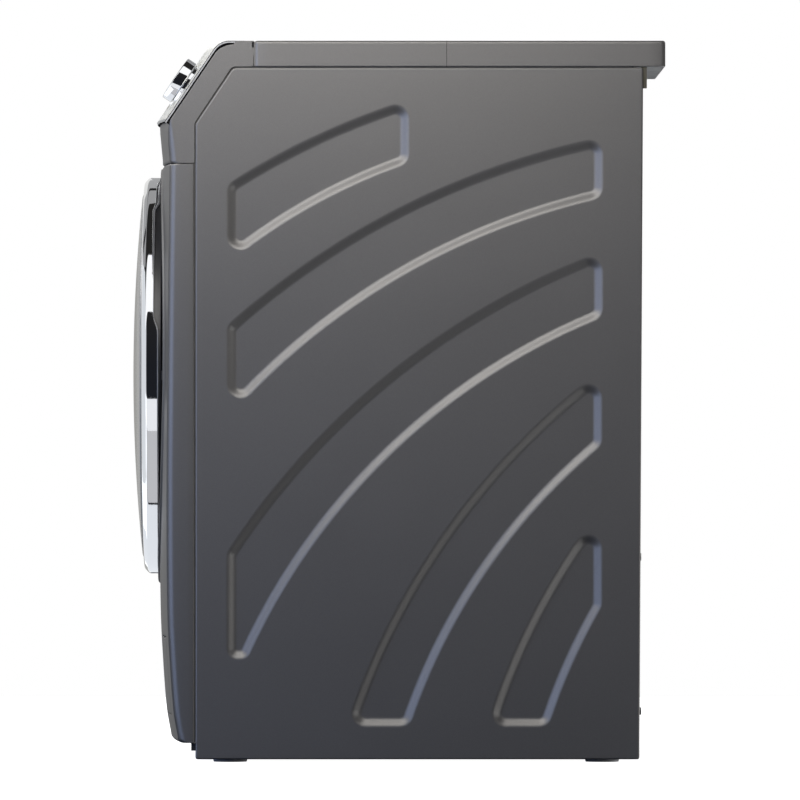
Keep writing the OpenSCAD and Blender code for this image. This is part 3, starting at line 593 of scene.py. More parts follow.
def band_outline(band):
    """Anticlockwise outline of a stamped band along the middle of its bevel, with rounded corners."""
    upper, lower, extra = band
    ahead, back = arc(*lower, 24), list(reversed(arc(*upper, 24)))
    path = [*ahead, *back, *[Vector(p) for p in extra]]
    last = len(path) - len(extra)
    at_corner = [0, len(ahead) - 1, len(ahead), last - 1, *range(last, len(path))]
    reach = {}
    for i in at_corner:
        r = SMALL_CORNER_R if extra and i in (0, len(path) - 1) else BAND_CORNER_R
        half = (path[i - 1] - path[i]).angle(path[(i + 1) % len(path)] - path[i]) / 2
        reach[i] = (r, r / math.tan(half) + 1)
    kept = []
    for i, p in enumerate(path):
        if i in reach:
            kept.append((p.x, p.y, reach[i][0]))
        elif all((p - path[j]).length > d for j, (_, d) in reach.items()):
            kept.append((p.x, p.y, 0))
    return filleted(kept, steps=8)


def side_panel(name, mirror):
    """Flat face, curved stampings with soft bevels, edges folded inwards."""
    def place(y, z, depth=0.0):
        return (HALF_W - depth, y, z)

    outline = filleted([
        (SIDE_FRONT, BASE_Z, 2.8), (SIDE_REAR + REAR_LEAN[0], BASE_Z, 2.8),
        (SIDE_REAR + REAR_LEAN[1], SIDE_TOP, 2.8), (*CHAMFER[1], 7), (*CHAMFER[0], 7)
    ])
    steps = 12
    bevel = [(BEVEL_W * (k / steps - 0.5), STAMP_DEPTH * (1 - math.cos(math.pi * k / steps)) / 2)
             for k in range(steps + 1)]
    run_out = BEVEL_W / 2 + MARGIN
    roll = [(FOLD_R * (1 - math.sin(t)), FOLD_R * (1 - math.cos(t))) for t in np.linspace(0, QUARTER, 7)]
    shape = Shape()
    openings = []
    for band in BANDS:
        middle = band_outline(band)
        openings.append(moved(middle, -run_out))
        shape.patch(moved(middle, run_out), [], lambda y, z: place(y, z, STAMP_DEPTH))
        shape.edge(middle, [(-run_out, 0), *bevel, (run_out, STAMP_DEPTH)], place)
    shape.patch(moved(outline, FOLD_R + MARGIN), openings, place)
    shape.edge(outline, [(FOLD_R + MARGIN, 0), *roll, (0, 12)], place)
    shape.face((1, 0, 0))
    shape.done("side_shell_" + name, GRAPHITE, "cabinet", ["side_panel_" + name],
               wall=0.9, mirror=mirror, sharp=50)


def ribbon(points, half):
    """Closed anticlockwise outline of an open path widened by half to each side."""
    p = [Vector(q) for q in points]
    sides = []
    for i, q in enumerate(p):
        a, b = p[max(i - 1, 0)], p[min(i + 1, len(p) - 1)]
        before = (q - a).normalized() if i else (b - q).normalized()
        after = (b - q).normalized() if i < len(p) - 1 else before
        left = Vector((-before.y, before.x))
        middle = (left + Vector((-after.y, after.x))).normalized()
        sides.append(middle * half / middle.dot(left))
    return [q - d for q, d in zip(p, sides)] + [q + d for q, d in reversed(list(zip(p, sides)))]


def side_strip(name, look, outline, sign, inner, outer):
    """Prism on an outline seen from the side, from inner to outer to the right or the left."""
    shape = Shape()
    prism(shape, outline, lambda y, z, x: (sign * x, y, z), inner, outer)
    shape.done(name, look, "cabinet", sharp=40)


def seam_seals():
    """Dark strips behind the seams round the side panels; their dark colour paints the shade seen in the
    seams.
    """
    seam = ribbon([(-235.6, BASE_Z + 19), (-235.6, 745.6), (-191.6, 811.2), (276, 811.2)], 0.9)
    for name, sign in SIDES:
        side_strip("seam_seal_" + name, SEAM_SHADE, seam, sign, HALF_W - 11, HALF_W - 1.4)


# ---------- Front panel ----------

FRONT_KNOTS = [(29.5, -268.1), (47, -271.4), (66, -273.9), (114, -277.4), (182, -280.5), (317, -281.4),
               (452, -280.5), (575, -279.3), (696, -277.7)]
front_curve = np.array([(p.x, p.y) for p in curve_through([(*k, 0) for k in FRONT_KNOTS], 10)])
CORNER_R = 8.0
FLANK_BACK = SIDE_FRONT - 1.2
BOTTOM_R = 6.5
TOP_R = 2.5
FRONT_TOP = SEAM_Z - 0.5
BOSS_H = 2.5
BOSS_R = 245.0
SEAT_R = 239.5
FLANK_SPAN = 20.0
OVERLAP = 8.0
U_FLAT = HALF_W - CORNER_R
U_ROUND = U_FLAT + CORNER_R * QUARTER
U_EDGE = U_ROUND + FLANK_SPAN + FOLD_R * QUARTER
U_END = U_EDGE + 6
FRONT_LOW, FRONT_HIGH = FRONT_KNOTS[0][0], FRONT_TOP - TOP_R
V_LOW = FRONT_LOW - BOTTOM_R * QUARTER - OVERLAP
V_HIGH = FRONT_HIGH + TOP_R * QUARTER + OVERLAP
FLAP = (165, 55.5, 255, 145.5)
FLAP_GAP = 1.2


def bow(x, depth=BOW):
    return depth * (x / HALF_W) ** 2


def fold(s, r):
    """How far in and how far on a sheet has gone at distance s into a quarter bend of radius r."""
    t = min(s / r, QUARTER)
    return r * (1 - math.cos(t)) + max(0.0, s - r * QUARTER), r * math.sin(t)


def front_point(u, v):
    """Place on the front panel: u runs across and round the corners, v is the height, past the folds."""
    z = min(max(v, FRONT_LOW), FRONT_HIGH)
    y = float(np.interp(z, *front_curve.T))
    if v > FRONT_HIGH:
        inwards, on = fold(v - FRONT_HIGH, TOP_R)
        y, z = y + inwards, z + on
    elif v < FRONT_LOW:
        inwards, on = fold(FRONT_LOW - v, BOTTOM_R)
        y, z = y + inwards, z - on
    x = abs(u)
    if x <= U_FLAT:
        return (u, y + bow(u), z)
    t = min((x - U_FLAT) / CORNER_R, QUARTER)
    rest = x - U_ROUND
    x = U_FLAT + CORNER_R * math.sin(t)
    y += bow(U_FLAT) + (bow(HALF_W) - bow(U_FLAT)) * t / QUARTER + CORNER_R * (1 - math.cos(t))
    if rest > 0:
        y += (FLANK_BACK - FOLD_R - y) * min(1.0, rest / FLANK_SPAN)
        inwards, on = fold(max(0.0, rest - FLANK_SPAN), FOLD_R)
        x, y = x - inwards, y + on
    return (math.copysign(x, u), y, z)


def behind_front(u, v, depth=0.0):
    return Vector(front_point(u, v)) + Vector((0, depth, 0))


def front_stations():
    """Lines across the front panel, close together round the corners."""
    half = [*np.linspace(0, U_FLAT, 32)[1:], *np.linspace(U_FLAT, U_ROUND, 9)[1:],
            *np.linspace(U_ROUND, U_ROUND + FLANK_SPAN, 4)[1:],
            *np.linspace(U_ROUND + FLANK_SPAN, U_EDGE, 5)[1:], U_END]
    return [*[-u for u in reversed(half)], 0, *half]


def front_levels():
    return [V_LOW, *np.linspace(V_LOW + OVERLAP, FRONT_LOW, 8), *np.linspace(FRONT_LOW, FRONT_HIGH, 84)[1:],
            *np.linspace(FRONT_HIGH, V_HIGH - OVERLAP, 6)[1:], V_HIGH]


def grown(box, d):
    return (box[0] - d, box[1] - d, box[2] + d, box[3] + d)


def on_lines(outline, us, vs):
    """The outline with added points where the lines us and vs cross its straight edges."""
    made = []
    for i, p in enumerate(outline):
        q = outline[(i + 1) % len(outline)]
        made.append(p)
        lines, k = (us, 0) if abs(q.x - p.x) > abs(q.y - p.y) else (vs, 1)
        cuts = sorted(w for w in lines if min(p[k], q[k]) + 2 < w < max(p[k], q[k]) - 2)
        made += [p.lerp(q, (w - p[k]) / (q[k] - p[k])) for w in (cuts if q[k] > p[k] else reversed(cuts))]
    return made


def front_panel():
    """Bowed sheet folded back at its edges, with the door's dished seat and the flap's opening."""
    us, vs = front_stations(), front_levels()
    seat = circle(0, DRUM_Z, BOSS_R + 3, 256)
    flap = on_lines(rounded_box(*grown(FLAP, FLAP_GAP), 4), us, vs)
    shape = Shape()
    shape.patch(grid_outline(us, vs), [seat, flap], front_point, us[1:-1], vs[1:-1])
    shape.edge(flap, [(0, 0), (0.3, 0.3), (0.5, 1.0), (0.5, 5.0)], behind_front)
    rise = [(BOSS_R + 3 - k, BOSS_H * smooth(k / 4)) for k in range(5)]
    rise += [(SEAT_R + 1.5 * (1 - math.sin(t)), BOSS_H - 1.5 * (1 - math.cos(t)))
             for t in np.linspace(0, QUARTER, 5)]
    rows = [[behind_front(p.x, p.y, -lift) for p in circle(0, DRUM_Z, r, 256)] for r, lift in rise]
    dish = filleted([(SEAT_R, -270, 0), (SEAT_R - 0.4, -271.2, 0), (190.5, -259, 4), (187, -250.5, 0)], False)
    rows += [[around_drum(r, y, t) for t in turns(256)] for r, y in dish[1:]]
    shape.skin(rows)
    shape.face((0, -1, 0))
    shape.done("front_shell", GRAPHITE, "cabinet", ["front_panel"], wall=1.2, sharp=50)


# ---------- Service flap ----------

def service_flap():
    """Flap that follows the front, with a finger notch in its top edge."""
    left, bottom, right, top = FLAP
    notch = [(225, top, 2), (222, top - 5, 3), (198, top - 5, 3), (195, top, 2)]
    knots = [(left, bottom, 3), (right, bottom, 3), (right, top, 3), *notch, (left, top, 3)]
    outline = dense(filleted(knots, steps=4), 6)
    levels = [(0.8, 0.0), (0.35, 0.12), (0.1, 0.4), (0.0, 0.8), (0.0, 2.0)]
    shape = Shape()
    inlay(shape, outline, levels, np.linspace(160, 260, 18), np.linspace(50, 150, 18), behind_front)
    shape.done("flap_shell", GRAPHITE, "flap", ["service_flap"], sharp=45)


# ---------- Control housing and fascia ----------

SLOPE_V = (832 - LIP[1]) / COS
TOP_FILLET = 22.7
V_TOP = SLOPE_V + TOP_FILLET * (QUARTER - LEAN) + 4
RIGHT, UP_SLOPE, OFF_SLOPE = Vector((1, 0, 0)), Vector((0, SIN, COS)), Vector((0, -COS, SIN))
drawer_low, drawer_high = corners("drawer_front")
window_low, window_high = corners("display_window")
KNOB_X, KNOB_V, KNOB_R = 245.0, 49.0, 27.0
BUTTON_X, BUTTON_V, BUTTON_R = 192.0, {"power": 70.0, "start": 30.0}, 8.0
KNOB_HOLE_R = 24.5


def up_slope(z):
    return (z - LIP[1]) / COS


DRAWER = (drawer_low.x, up_slope(758.5), drawer_high.x, up_slope(821.5))
WINDOW = (window_low.x, up_slope(765), window_high.x, up_slope(818))


def slope_place(v, inset=0.0):
    """(y, z) in the middle plane at distance v up the control panel's face."""
    if v <= SLOPE_V:
        y, z, lean = LIP[0] + v * SIN, LIP[1] + v * COS, LEAN
    else:
        lean = LEAN + min((v - SLOPE_V) / TOP_FILLET, QUARTER - LEAN)
        y = LIP[0] + SLOPE_V * SIN + TOP_FILLET * (math.cos(LEAN) - math.cos(lean))
        z = LIP[1] + SLOPE_V * COS + TOP_FILLET * (math.sin(lean) - math.sin(LEAN))
        y += max(0.0, v - SLOPE_V - TOP_FILLET * (QUARTER - LEAN))
    return y + inset * math.cos(lean), z - inset * math.sin(lean)


def fascia_point(u, v, inset=0.0):
    y, z = slope_place(v, inset)
    return Vector((u, y + bow(u, PANEL_BOW), z))


def off_fascia(u, v, across, along):
    """Places about (u, v) on the fascia: a runs across, b along, and h off the slope."""
    base = fascia_point(u, v)
    return lambda a, b, h: base + across * a + along * b + OFF_SLOPE * h


def control_fascia():
    """Silver sheet that bends over the slope's top, turned down at its lip and round its openings."""
    edge = HALF_W - 3.0
    us = np.linspace(-edge, edge, 65)
    vs = [-2.5, *np.linspace(0, SLOPE_V, 20), *np.linspace(SLOPE_V, V_TOP, 9)[1:]]
    holes = [
        dense(rounded_box(*grown(DRAWER, 1.0), 5), 9), dense(rounded_box(*grown(WINDOW, 0.4), 6), 9),
        circle(KNOB_X, KNOB_V, KNOB_HOLE_R, 96),
        *[circle(BUTTON_X, v, BUTTON_R + 0.6, 48) for v in BUTTON_V.values()]
    ]

    def place(u, v, inset=0.0):
        if v < 0:
            return Vector((u, LIP[0] + bow(u, PANEL_BOW) + v * v / 8 + inset, LIP[1] + v))
        return fascia_point(u, v, inset)

    shape = Shape()
    shape.patch(grid_outline(us, vs), holes, place, us[1:-1], vs[1:-1])
    for hole in holes:
        shape.edge(hole, [(0, 0), (0.25, 0.1), (0.5, 0.5), (0.5, 2.6)], place)
    shape.face((0, -1, 0.6))
    shape.done("fascia_shell", SILVER, "cabinet", ["control_fascia"], wall=0.8, sharp=50)


# Housing in the middle plane: y, z, share of the bow, share of the corner rounding.
FULL = PANEL_BOW / BOW
HOUSING = [
    (-262, 699.5, 1, 1), (-275.5, 699.5, 1, 1), (-277.7, 701.7, 1, 1), (-277.9, 707, 1, 1),
    (-279.4, 722, 1, 1), (-280.9, 738, 1.1, 0.7), (-281.3, 746.0, FULL, 0.3), (-279.6, 750.6, FULL, 0.1),
    (-226.9, 828.7, FULL, 0.1), (-222.0, 833.2, FULL, 0.1), (-214.0, 836.6, FULL, 0.1),
    (-206.6, 837.6, FULL, 0.1), (-205.6, 838.8, FULL, 0.1), (-205.3, 840.7, FULL, 0.1),
    (-204.2, 841.7, FULL, 0.1), (-186, 841.8, 0.7, 0.1), (-168.5, 841.8, 0.05, 0.1), (-167.2, 840.8, 0, 0.1),
    (-167.0, 834, 0, 0.1)
]
HOUSING_REAR = [(-168.2, 811.9, 1), (-192.3, 811.9, 8), (-236.2, 745.8, 8), (-236.2, 699.5, 1)]
RUN_IN = 0.25
housing_path = path_of(HOUSING)


def housing_point(u, s):
    """Place on the housing: u runs across, with the corner's round after its run-in, and s up the outline."""
    y, z, bowed, rounded = at(housing_path, s)
    r = CORNER_R * rounded
    x = abs(u)
    share = min(1.0, (x - U_FLAT) / (CORNER_R * QUARTER))
    if share > RUN_IN:
        t = (share - RUN_IN) / (1 - RUN_IN) * QUARTER
        x = HALF_W - r + r * math.sin(t)
        y += r * (1 - math.cos(t))
    elif share > 0:
        x = U_FLAT + (HALF_W - r - U_FLAT) * share / RUN_IN
    return Vector((math.copysign(x, u), y + bow(x) * bowed, z))


def control_housing():
    """Shell behind the fascia, open for the drawer, with a flat cap at each end."""
    half = [*np.linspace(0, U_FLAT, 24)[1:], *np.linspace(U_FLAT, U_ROUND, 13)[1:]]
    us = [*[-u for u in reversed(half)], 0, *half]
    levels = sorted({*np.linspace(0, housing_path[-1, 0], 70), *housing_path[:, 0]})
    rows = [[housing_point(u, s) for u in us] for s in levels]
    u0, v0, u1, v1 = grown(DRAWER, 2)
    shape = Shape()
    made = [shape.row(r) for r in rows]
    for a, b in zip(made, made[1:]):
        for i in range(len(us) - 1):
            middle = (a[i].co + a[i + 1].co + b[i].co + b[i + 1].co) / 4
            in_drawer = u0 < middle.x < u1 and v0 < up_slope(middle.z) < v1 and middle.z > LIP[1] + 1
            if not in_drawer:
                shape.bm.faces.new((a[i], a[i + 1], b[i + 1], b[i]))
    flank = filleted([*[(row[-1].y, row[-1].z, 0) for row in rows], *HOUSING_REAR], steps=5)
    for sign in (1, -1):
        shape.edge(flank, [(0, HALF_W), (-MARGIN, HALF_W)], lambda y, z, x: (sign * x, y, z))
        shape.patch(moved(flank, -MARGIN), [], lambda y, z: (sign * HALF_W, y, z))
    shape.face((0, -1, 1))
    shape.done("housing_shell", GRAPHITE, "cabinet", ["control_housing"],
               wall=2.0, sharp=50)


def edge_strip(name, look, low, high, x_in, x_out, end=V_TOP + 14):
    """Strip along both ends of the control panel, from low to high off its face."""
    shape = Shape()
    for sign in (1, -1):
        rows = []
        for v in [*np.linspace(-4.0, SLOPE_V, 12), *np.linspace(SLOPE_V, end, 14)[1:]]:
            inner, outer = slope_place(v, -low), slope_place(v, -high)
            rows.append([(sign * x, y + PANEL_BOW, z)
                         for x, (y, z) in ((x_in, inner), (x_out, inner), (x_out, outer), (x_in, outer))])
        shape.skin(rows, ends=True)
    shape.done(name, look, "cabinet", sharp=30)


def panel_edges():
    """Silver line between two near-black strips, where the fascia meets the housing's ends; the strips are
    painted shade, one in the groove and one along the trim's outer edge.
    """
    # The near-black strips paint the shade in the groove and along the trim's outer edge.
    edge_strip("panel_gap", GAP_SHADE, -7.0, -2.2, HALF_W - 9, HALF_W - 1.4, V_TOP + 15)
    edge_strip("panel_trim", TRIM, -2.4, -0.8, HALF_W - 7, HALF_W - 0.2)
    edge_strip("panel_gap_outer", GAP_SHADE, -1.0, -0.1, HALF_W - 5, HALF_W - 0.9)


# ---------- Display, drawer front, knob and buttons ----------

def display_window():
    """Pane that follows the bow of the slope."""
    outline = dense(rounded_box(*WINDOW, 5.6), 8)
    us, vs = np.linspace(WINDOW[0], WINDOW[2], 30)[1:-1], np.linspace(WINDOW[1], WINDOW[3], 8)[1:-1]
    shape = Shape()
    inlay(shape, outline, [(0.8, -0.1), (0.3, 0.05), (0.0, 0.5), (0.0, 2.2)], us, vs, fascia_point)
    shape.done("display_pane", DISPLAY, "cabinet", ["display_window"], sharp=50)


def drawer_front():
    """Bowed drawer front with a finger recess along its lower edge."""
    outline = dense(rounded_box(*DRAWER, 4.5), 6)
    us, vs = np.linspace(DRAWER[0], DRAWER[2], 40)[1:-1], np.linspace(DRAWER[1], DRAWER[3], 22)[1:-1]
    middle_u = (DRAWER[0] + DRAWER[2]) / 2

    def face(u, v):
        across = smooth((62 - abs(u - middle_u)) / 10)
        up = smooth((v - DRAWER[1] - 7) / 5) * smooth((DRAWER[1] + 31 - v) / 9)
        return fascia_point(u, v, -0.2 + 2.6 * across * up)

    shape = Shape()
    inlay(shape, outline, [(0.8, -0.2), (0.3, 0.0), (0.0, 0.6), (0.0, 3.6)], us, vs, fascia_point, face)
    shape.done("drawer_face", SILVER, "drawer", ["drawer_front"], sharp=50)


def turned(name, look, body, knots, x, v, nodes=(), n=128):
    """Solid of revolution about the slope's normal at (x, v), from (radius, height, fillet) knots."""
    place = off_fascia(x, v, RIGHT, UP_SLOPE)
    rows = [[place(r * math.cos(t), r * math.sin(t), h) for t in turns(n)] for r, h in filleted(knots)]
    shape = Shape()
    shape.skin(rows + [rows[0]])
    shape.done(name, look, body, nodes, sharp=40)


def program_knob():
    """Dished cap on a stem, its marker, and the ring that it stands in."""
    top, bottom, stem_r = 15.8, 2.9, 3.0
    turned("knob_cap", CHROME, "knob", [
        (0.01, top - 0.9, 0), (18, top - 0.6, 10), (KNOB_R - 3.2, top, 1.4), (KNOB_R, top - 0.6, 1.2),
        (KNOB_R, bottom, 0.8), (KNOB_R - 2.5, bottom, 0.5), (KNOB_R - 2.5, bottom + 1.6, 0),
        (stem_r, bottom + 1.6, 0), (stem_r, -16, 0), (0.01, -16, 0)
    ], KNOB_X, KNOB_V, ["program_knob"])
    shape = Shape()
    place = off_fascia(KNOB_X, KNOB_V, RIGHT, UP_SLOPE)
    prism(shape, rounded_box(-0.9, 11, 0.9, 20, 0.85), place, top - 1.5, top + 0.05, 0.05, 1)
    shape.done("knob_marker", BLACK, "knob", sharp=40)
    ring = [(KNOB_HOLE_R, -1.5, 0), (KNOB_HOLE_R, 2.4, 0.6), (12, 2.4, 0), (12, -1.5, 0)]
    turned("knob_seat", CHROME, "cabinet", ring, KNOB_X, KNOB_V)


def dial_marks():
    """Small raised marks round the knob, every third one longer, with none past the panel's end."""
    shape = Shape()
    for k in range(12):
        t = math.tau * k / 12
        spoke = RIGHT * math.sin(t) + UP_SLOPE * math.cos(t)
        u, v = KNOB_X + 31 * math.sin(t), KNOB_V + 31 * math.cos(t)
        mark = rounded_box(-0.45, 0, 0.45, 2.4 if k % 3 else 4.0, 0.4, 2)
        if u < HALF_W - 10:
            prism(shape, mark, off_fascia(u, v, spoke.cross(OFF_SLOPE), spoke), -0.4, 0.15)
    shape.done("dial_marks", BLACK, "cabinet", sharp=40)


def buttons():
    """Two round push buttons, each with a flange behind the fascia."""
    for name, v in BUTTON_V.items():
        node = name + "_button"
        turned(name + "_cap", CHROME, node, [
            (0.01, 1.5, 0), (4, 1.6, 4), (BUTTON_R - 1.2, 2.0, 0.6), (BUTTON_R, 1.9, 0.6), (BUTTON_R, -7, 0),
            (BUTTON_R + 2, -7, 0.3), (BUTTON_R + 2, -9, 0.3), (0.01, -9, 0)
        ], BUTTON_X, v, [node], 64)


# ---------- Top plate ----------

def top_plate():
    """Rounded slab with a rim, a near-black strip across each side rim as the painted shade of a fine seam,
    and a filler in the seam at its front with a near-black strip as that seam's painted shade.
    """
    low, high = plate_low, plate_high
    outline = dense(rounded_box(low.x, low.y, high.x, high.y, 5.0), 14)
    r = 3.0
    levels = [(0.6, low.z), (0.15, low.z + 0.15), (0.0, low.z + 0.6), (0.0, low.z + 1.1),
              (0.0, high.z - r - 0.5)]
    levels += [(r - r * math.cos(t), high.z - r + r * math.sin(t)) for t in np.linspace(0, QUARTER, 7)]
    levels.append((r + 0.7, high.z))
    shape = Shape()
    shape.edge(outline, levels, lambda x, y, z: (x, y, z), ends=True)
    looks = [GRAPHITE, GALVANISED]
    plate = shape.done("top_shell", looks, "cabinet", ["top_plate"], sharp=50)
    for polygon in plate.data.polygons:
        polygon.material_index = int(polygon.normal.z < -0.9)
    for name, sign in SIDES:
        # The near-black strip across each side rim paints the shade of a fine seam.
        line = Shape()
        rim = [(sign * (high.x - inset + 0.05), h + 0.03) for inset, h in levels[1:-1]]
        core = [(sign * (high.x - inset - 0.6), h - 0.4) for inset, h in levels[1:-1]]
        line.skin([[(x, y, z) for x, z in rim + core[::-1]] for y in (57.8, 58.3)], ends=True)
        line.done("rim_seam_" + name, GAP_SHADE, "cabinet", sharp=40)
        # The near-black strip in the front seam paints its shade; the filler uses the cabinet's graphite.
        strips = (("filler", GRAPHITE, -1.2, 2.6, 0.3), ("gap", GAP_SHADE, -0.8, -0.2, 0.2))
        for part, look, y0, y1, depth in strips:
            section = rounded_box(low.y + y0, low.z + 0.7, low.y + y1, high.z - 1.0, 0.25)
            side_strip("rim_" + part + "_" + name, look, section, sign, HALF_W - 8, HALF_W - depth)


# ---------- Back panel ----------

RECESS = 19.4


def back_panel():
    """Zinc-coated sheet with stamped panels, recesses for the hose connections and holes for services."""
    low, high = corners("back_panel")

    def place(x, z, depth=0.0):
        return (x, high.y - depth, z)

    shape = Shape()
    stamps = [rounded_box(-205, 290, 205, 336, 18), rounded_box(-205, 568, 205, 614, 18),
              circle(0, DRUM_Z, 98, 96), rounded_box(-235, 60, 235, 180, 22)]
    for stamp in stamps:
        shape.edge(stamp, [(k, 4 * smooth(k / 8)) for k in range(9)], place)
        shape.patch(moved(stamp, 8), [], lambda x, z: place(x, z, 4))
    mouths = []
    for x, z, half, hole in ((-200, 760, 30, 14.6), (235, 712, 24, 12.0)):
        mouth = rounded_box(x - half, z - half, x + half, z + half, 7)
        shape.edge(mouth, [(0, 0), (0.5, 0.2), (1.0, 1.0), (1.2, 18), (1.7, 19.2), (2.4, RECESS)], place)
        shape.patch(moved(mouth, 2.4), [circle(x, z, hole, 40)], lambda x, z: place(x, z, RECESS))
        mouths.append(mouth)
    holes = [circle(x, z, 11.4, 40) for x, z in ((-165, 690), (165, 690), (-150, 230), (150, 230))]
    holes += [circle(245, 600, 7.3, 32)]
    holes += [circle(x, z, 2.0, 16) for x in (-280, 280) for z in (60, 240, 420, 600)]
    outline = rounded_box(low.x, low.z, high.x, high.z - 2, 3)
    shape.patch(outline, [*stamps, *mouths, *holes], place)
    shape.face((0, 1, 0))
    shape.done("back_shell", GALVANISED, "cabinet", ["back_panel"], wall=1.0, sharp=50)


# ---------- Door ----------

NOTCH = (math.radians(12.6), math.radians(61))
NOTCH_RAMP, HINGE_RAMP = math.radians(5), math.radians(1.2)
NOTCH_Y, HINGE_Y = -285.0, -290.6
RING_BACK = ring_high.y
RING_WALL = 2.5
FRAME_R = 231.6
HINGE_HALF = 27.5


def from_hinge(t):
    """Angle between t and the hinge side of the door."""
    return math.pi - abs((t + math.pi) % math.tau - math.pi)


def ring_back(t):
    """Rear edge of the chrome ring at angle t: set forward over the handle and the hinge."""
    near = from_hinge(t)
    t = (t + math.pi) % math.tau - math.pi
    handle = smooth((t - NOTCH[0]) / NOTCH_RAMP) * smooth((NOTCH[1] - t) / NOTCH_RAMP)
    hinge = smooth((math.asin((HINGE_HALF + 1) / RING_R) - near) / HINGE_RAMP)
    return RING_BACK + (NOTCH_Y - RING_BACK) * handle + (HINGE_Y - RING_BACK) * hinge


def door_ring():
    """Chrome ring, with pale matt faces on the rear edge of its wall as a painted highlight."""
    front, inner = RING_FRONT + 9, RING_R - RING_WALL
    profile = filleted([
        (COVER_R + 0.6, RING_FRONT + RING_WALL, 0), (COVER_R + 0.6, RING_FRONT, 0.8),
        (RING_R - 6, RING_FRONT + 1, 6), (RING_R, RING_FRONT + 6.5, 5), (RING_R, RING_BACK, 1.6),
        (inner, RING_BACK, 0.3), (inner, RING_FRONT + 8, 2), (RING_R - 7, RING_FRONT + 3.5, 2)
    ], steps=8)

    def bend(r, y, t):
        if y > front:
            y = front + (y - front) * (ring_back(t) - front) / (RING_BACK - front)
        return r, y

    shape = Shape()
    lathe(shape, profile, 360, bend)
    ring = shape.done("chrome_ring", [CHROME, EDGE_HIGHLIGHT], "door", ["door_ring"], sharp=40)
    # Faces on the outer rear edge take the pale matt look: a painted highlight.
    for polygon in ring.data.polygons:
        outer = math.hypot(polygon.center.x, polygon.center.z - DRUM_Z * MM) > (RING_R - 2.0) * MM
        polygon.material_index = int(outer and polygon.normal.y > 0.3)


def door_cover():
    """Domed cover with a rounded rim."""
    crown_r, t = 2050.0, 3.0
    edge = COVER_R - 4

    def crown(r):
        return DOME_FRONT + crown_r - math.sqrt(crown_r ** 2 - r * r)

    outer = [(r, crown(r)) for r in (0.01, *[edge * k / 16 for k in range(1, 17)])]
    rim_y = crown(edge)
    rim = [(COVER_R - 2.4, rim_y + 0.5), (COVER_R - 1.1, rim_y + 1.3), (COVER_R - 0.3, rim_y + 2.6),
           (COVER_R, rim_y + 4.4), (COVER_R, -294.3), (COVER_R - t, -294.3), (COVER_R - t, rim_y + 4.6)]
    inner = [(r * (edge - 2) / edge, y + t) for r, y in reversed(outer)]
    shape = Shape()
    lathe(shape, outer + rim + inner, 256)
    shape.done("dome_cover", COVER, "door", ["door_cover"], sharp=50)


def door_frame():
    """Dark inner frame of the door, with a flat on its hinge side."""
    inner = FRAME_R - 3
    profile = filleted([
        (195, -293, 1), (227, -293, 2.5), (FRAME_R, -288.4, 2.5), (FRAME_R, -276, 1.5), (172, -276, 0.8),
        (172, -274, 0.6), (169.2, -274, 0.6), (169.2, -276.4, 0), (172, -276.4, 0), (172, -278.8, 0),
        (inner, -278.8, 1), (inner, -290.2, 1.5), (195, -290.2, 0)
    ])

    def bend(r, y, t):
        flat = from_hinge(t) < math.asin(HINGE_HALF / FRAME_R) and r > 228 and -289 < y < -280.6
        return 222 if flat else r, y

    shape = Shape()
    lathe(shape, profile, 360, bend)
    lathe(shape, [(175, -291), (175, -276.2), (172, -276.2), (172, -291)], 192)
    shape.done("inner_frame", BLACK, "door", ["door_frame"], sharp=40)


def door_glass():
    """Deep glass bowl with a rim that sits in the frame."""
    outer = filleted([(171.6, -281, 0.8), (171.6, -276.9, 0.8), (168.4, -276.9, 1.5), (142, -194, 10),
                      (128, -188, 30), (60, -186.2, 0), (0.01, -186, 0)], False)
    inner = filleted([(0.01, -190, 0), (60, -190.2, 0), (126, -192, 26), (139, -198, 8), (164, -279.5, 1.5),
                      (164, -281, 0)], False)
    shape = Shape()
    lathe(shape, outer + inner, 192)
    shape.done("glass_bowl", GLASS, "door", ["door_glass"], sharp=50)


# ---------- Gasket, drum and the soft pieces between the cabinet and the tub ----------

def door_gasket():
    """Grey bellows with soft folds and a lip that seals on the glass."""
    outline = filleted([
        (189, -262, 1), (184.3, -260.5, 1), (184.3, -249, 3), (194, -246, 2.5), (198, -240, 3),
        (194, -232, 3), (188.5, -227, 3), (188.5, -213.5, 0.8), (184.8, -213.5, 0.8), (184.8, -229, 3),
        (190, -234, 2.5), (193.5, -240, 2.5), (190, -243, 2), (178, -247, 3), (176, -255, 4),
        (167, -263, 1), (174, -266.5, 1.2), (189, -265, 1)
    ], steps=5)
    shape = Shape()
    lathe(shape, outline, 192)
    gasket = shape.done("bellows", GASKET, None, ["door_gasket"], sharp=60)
    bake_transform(gasket)


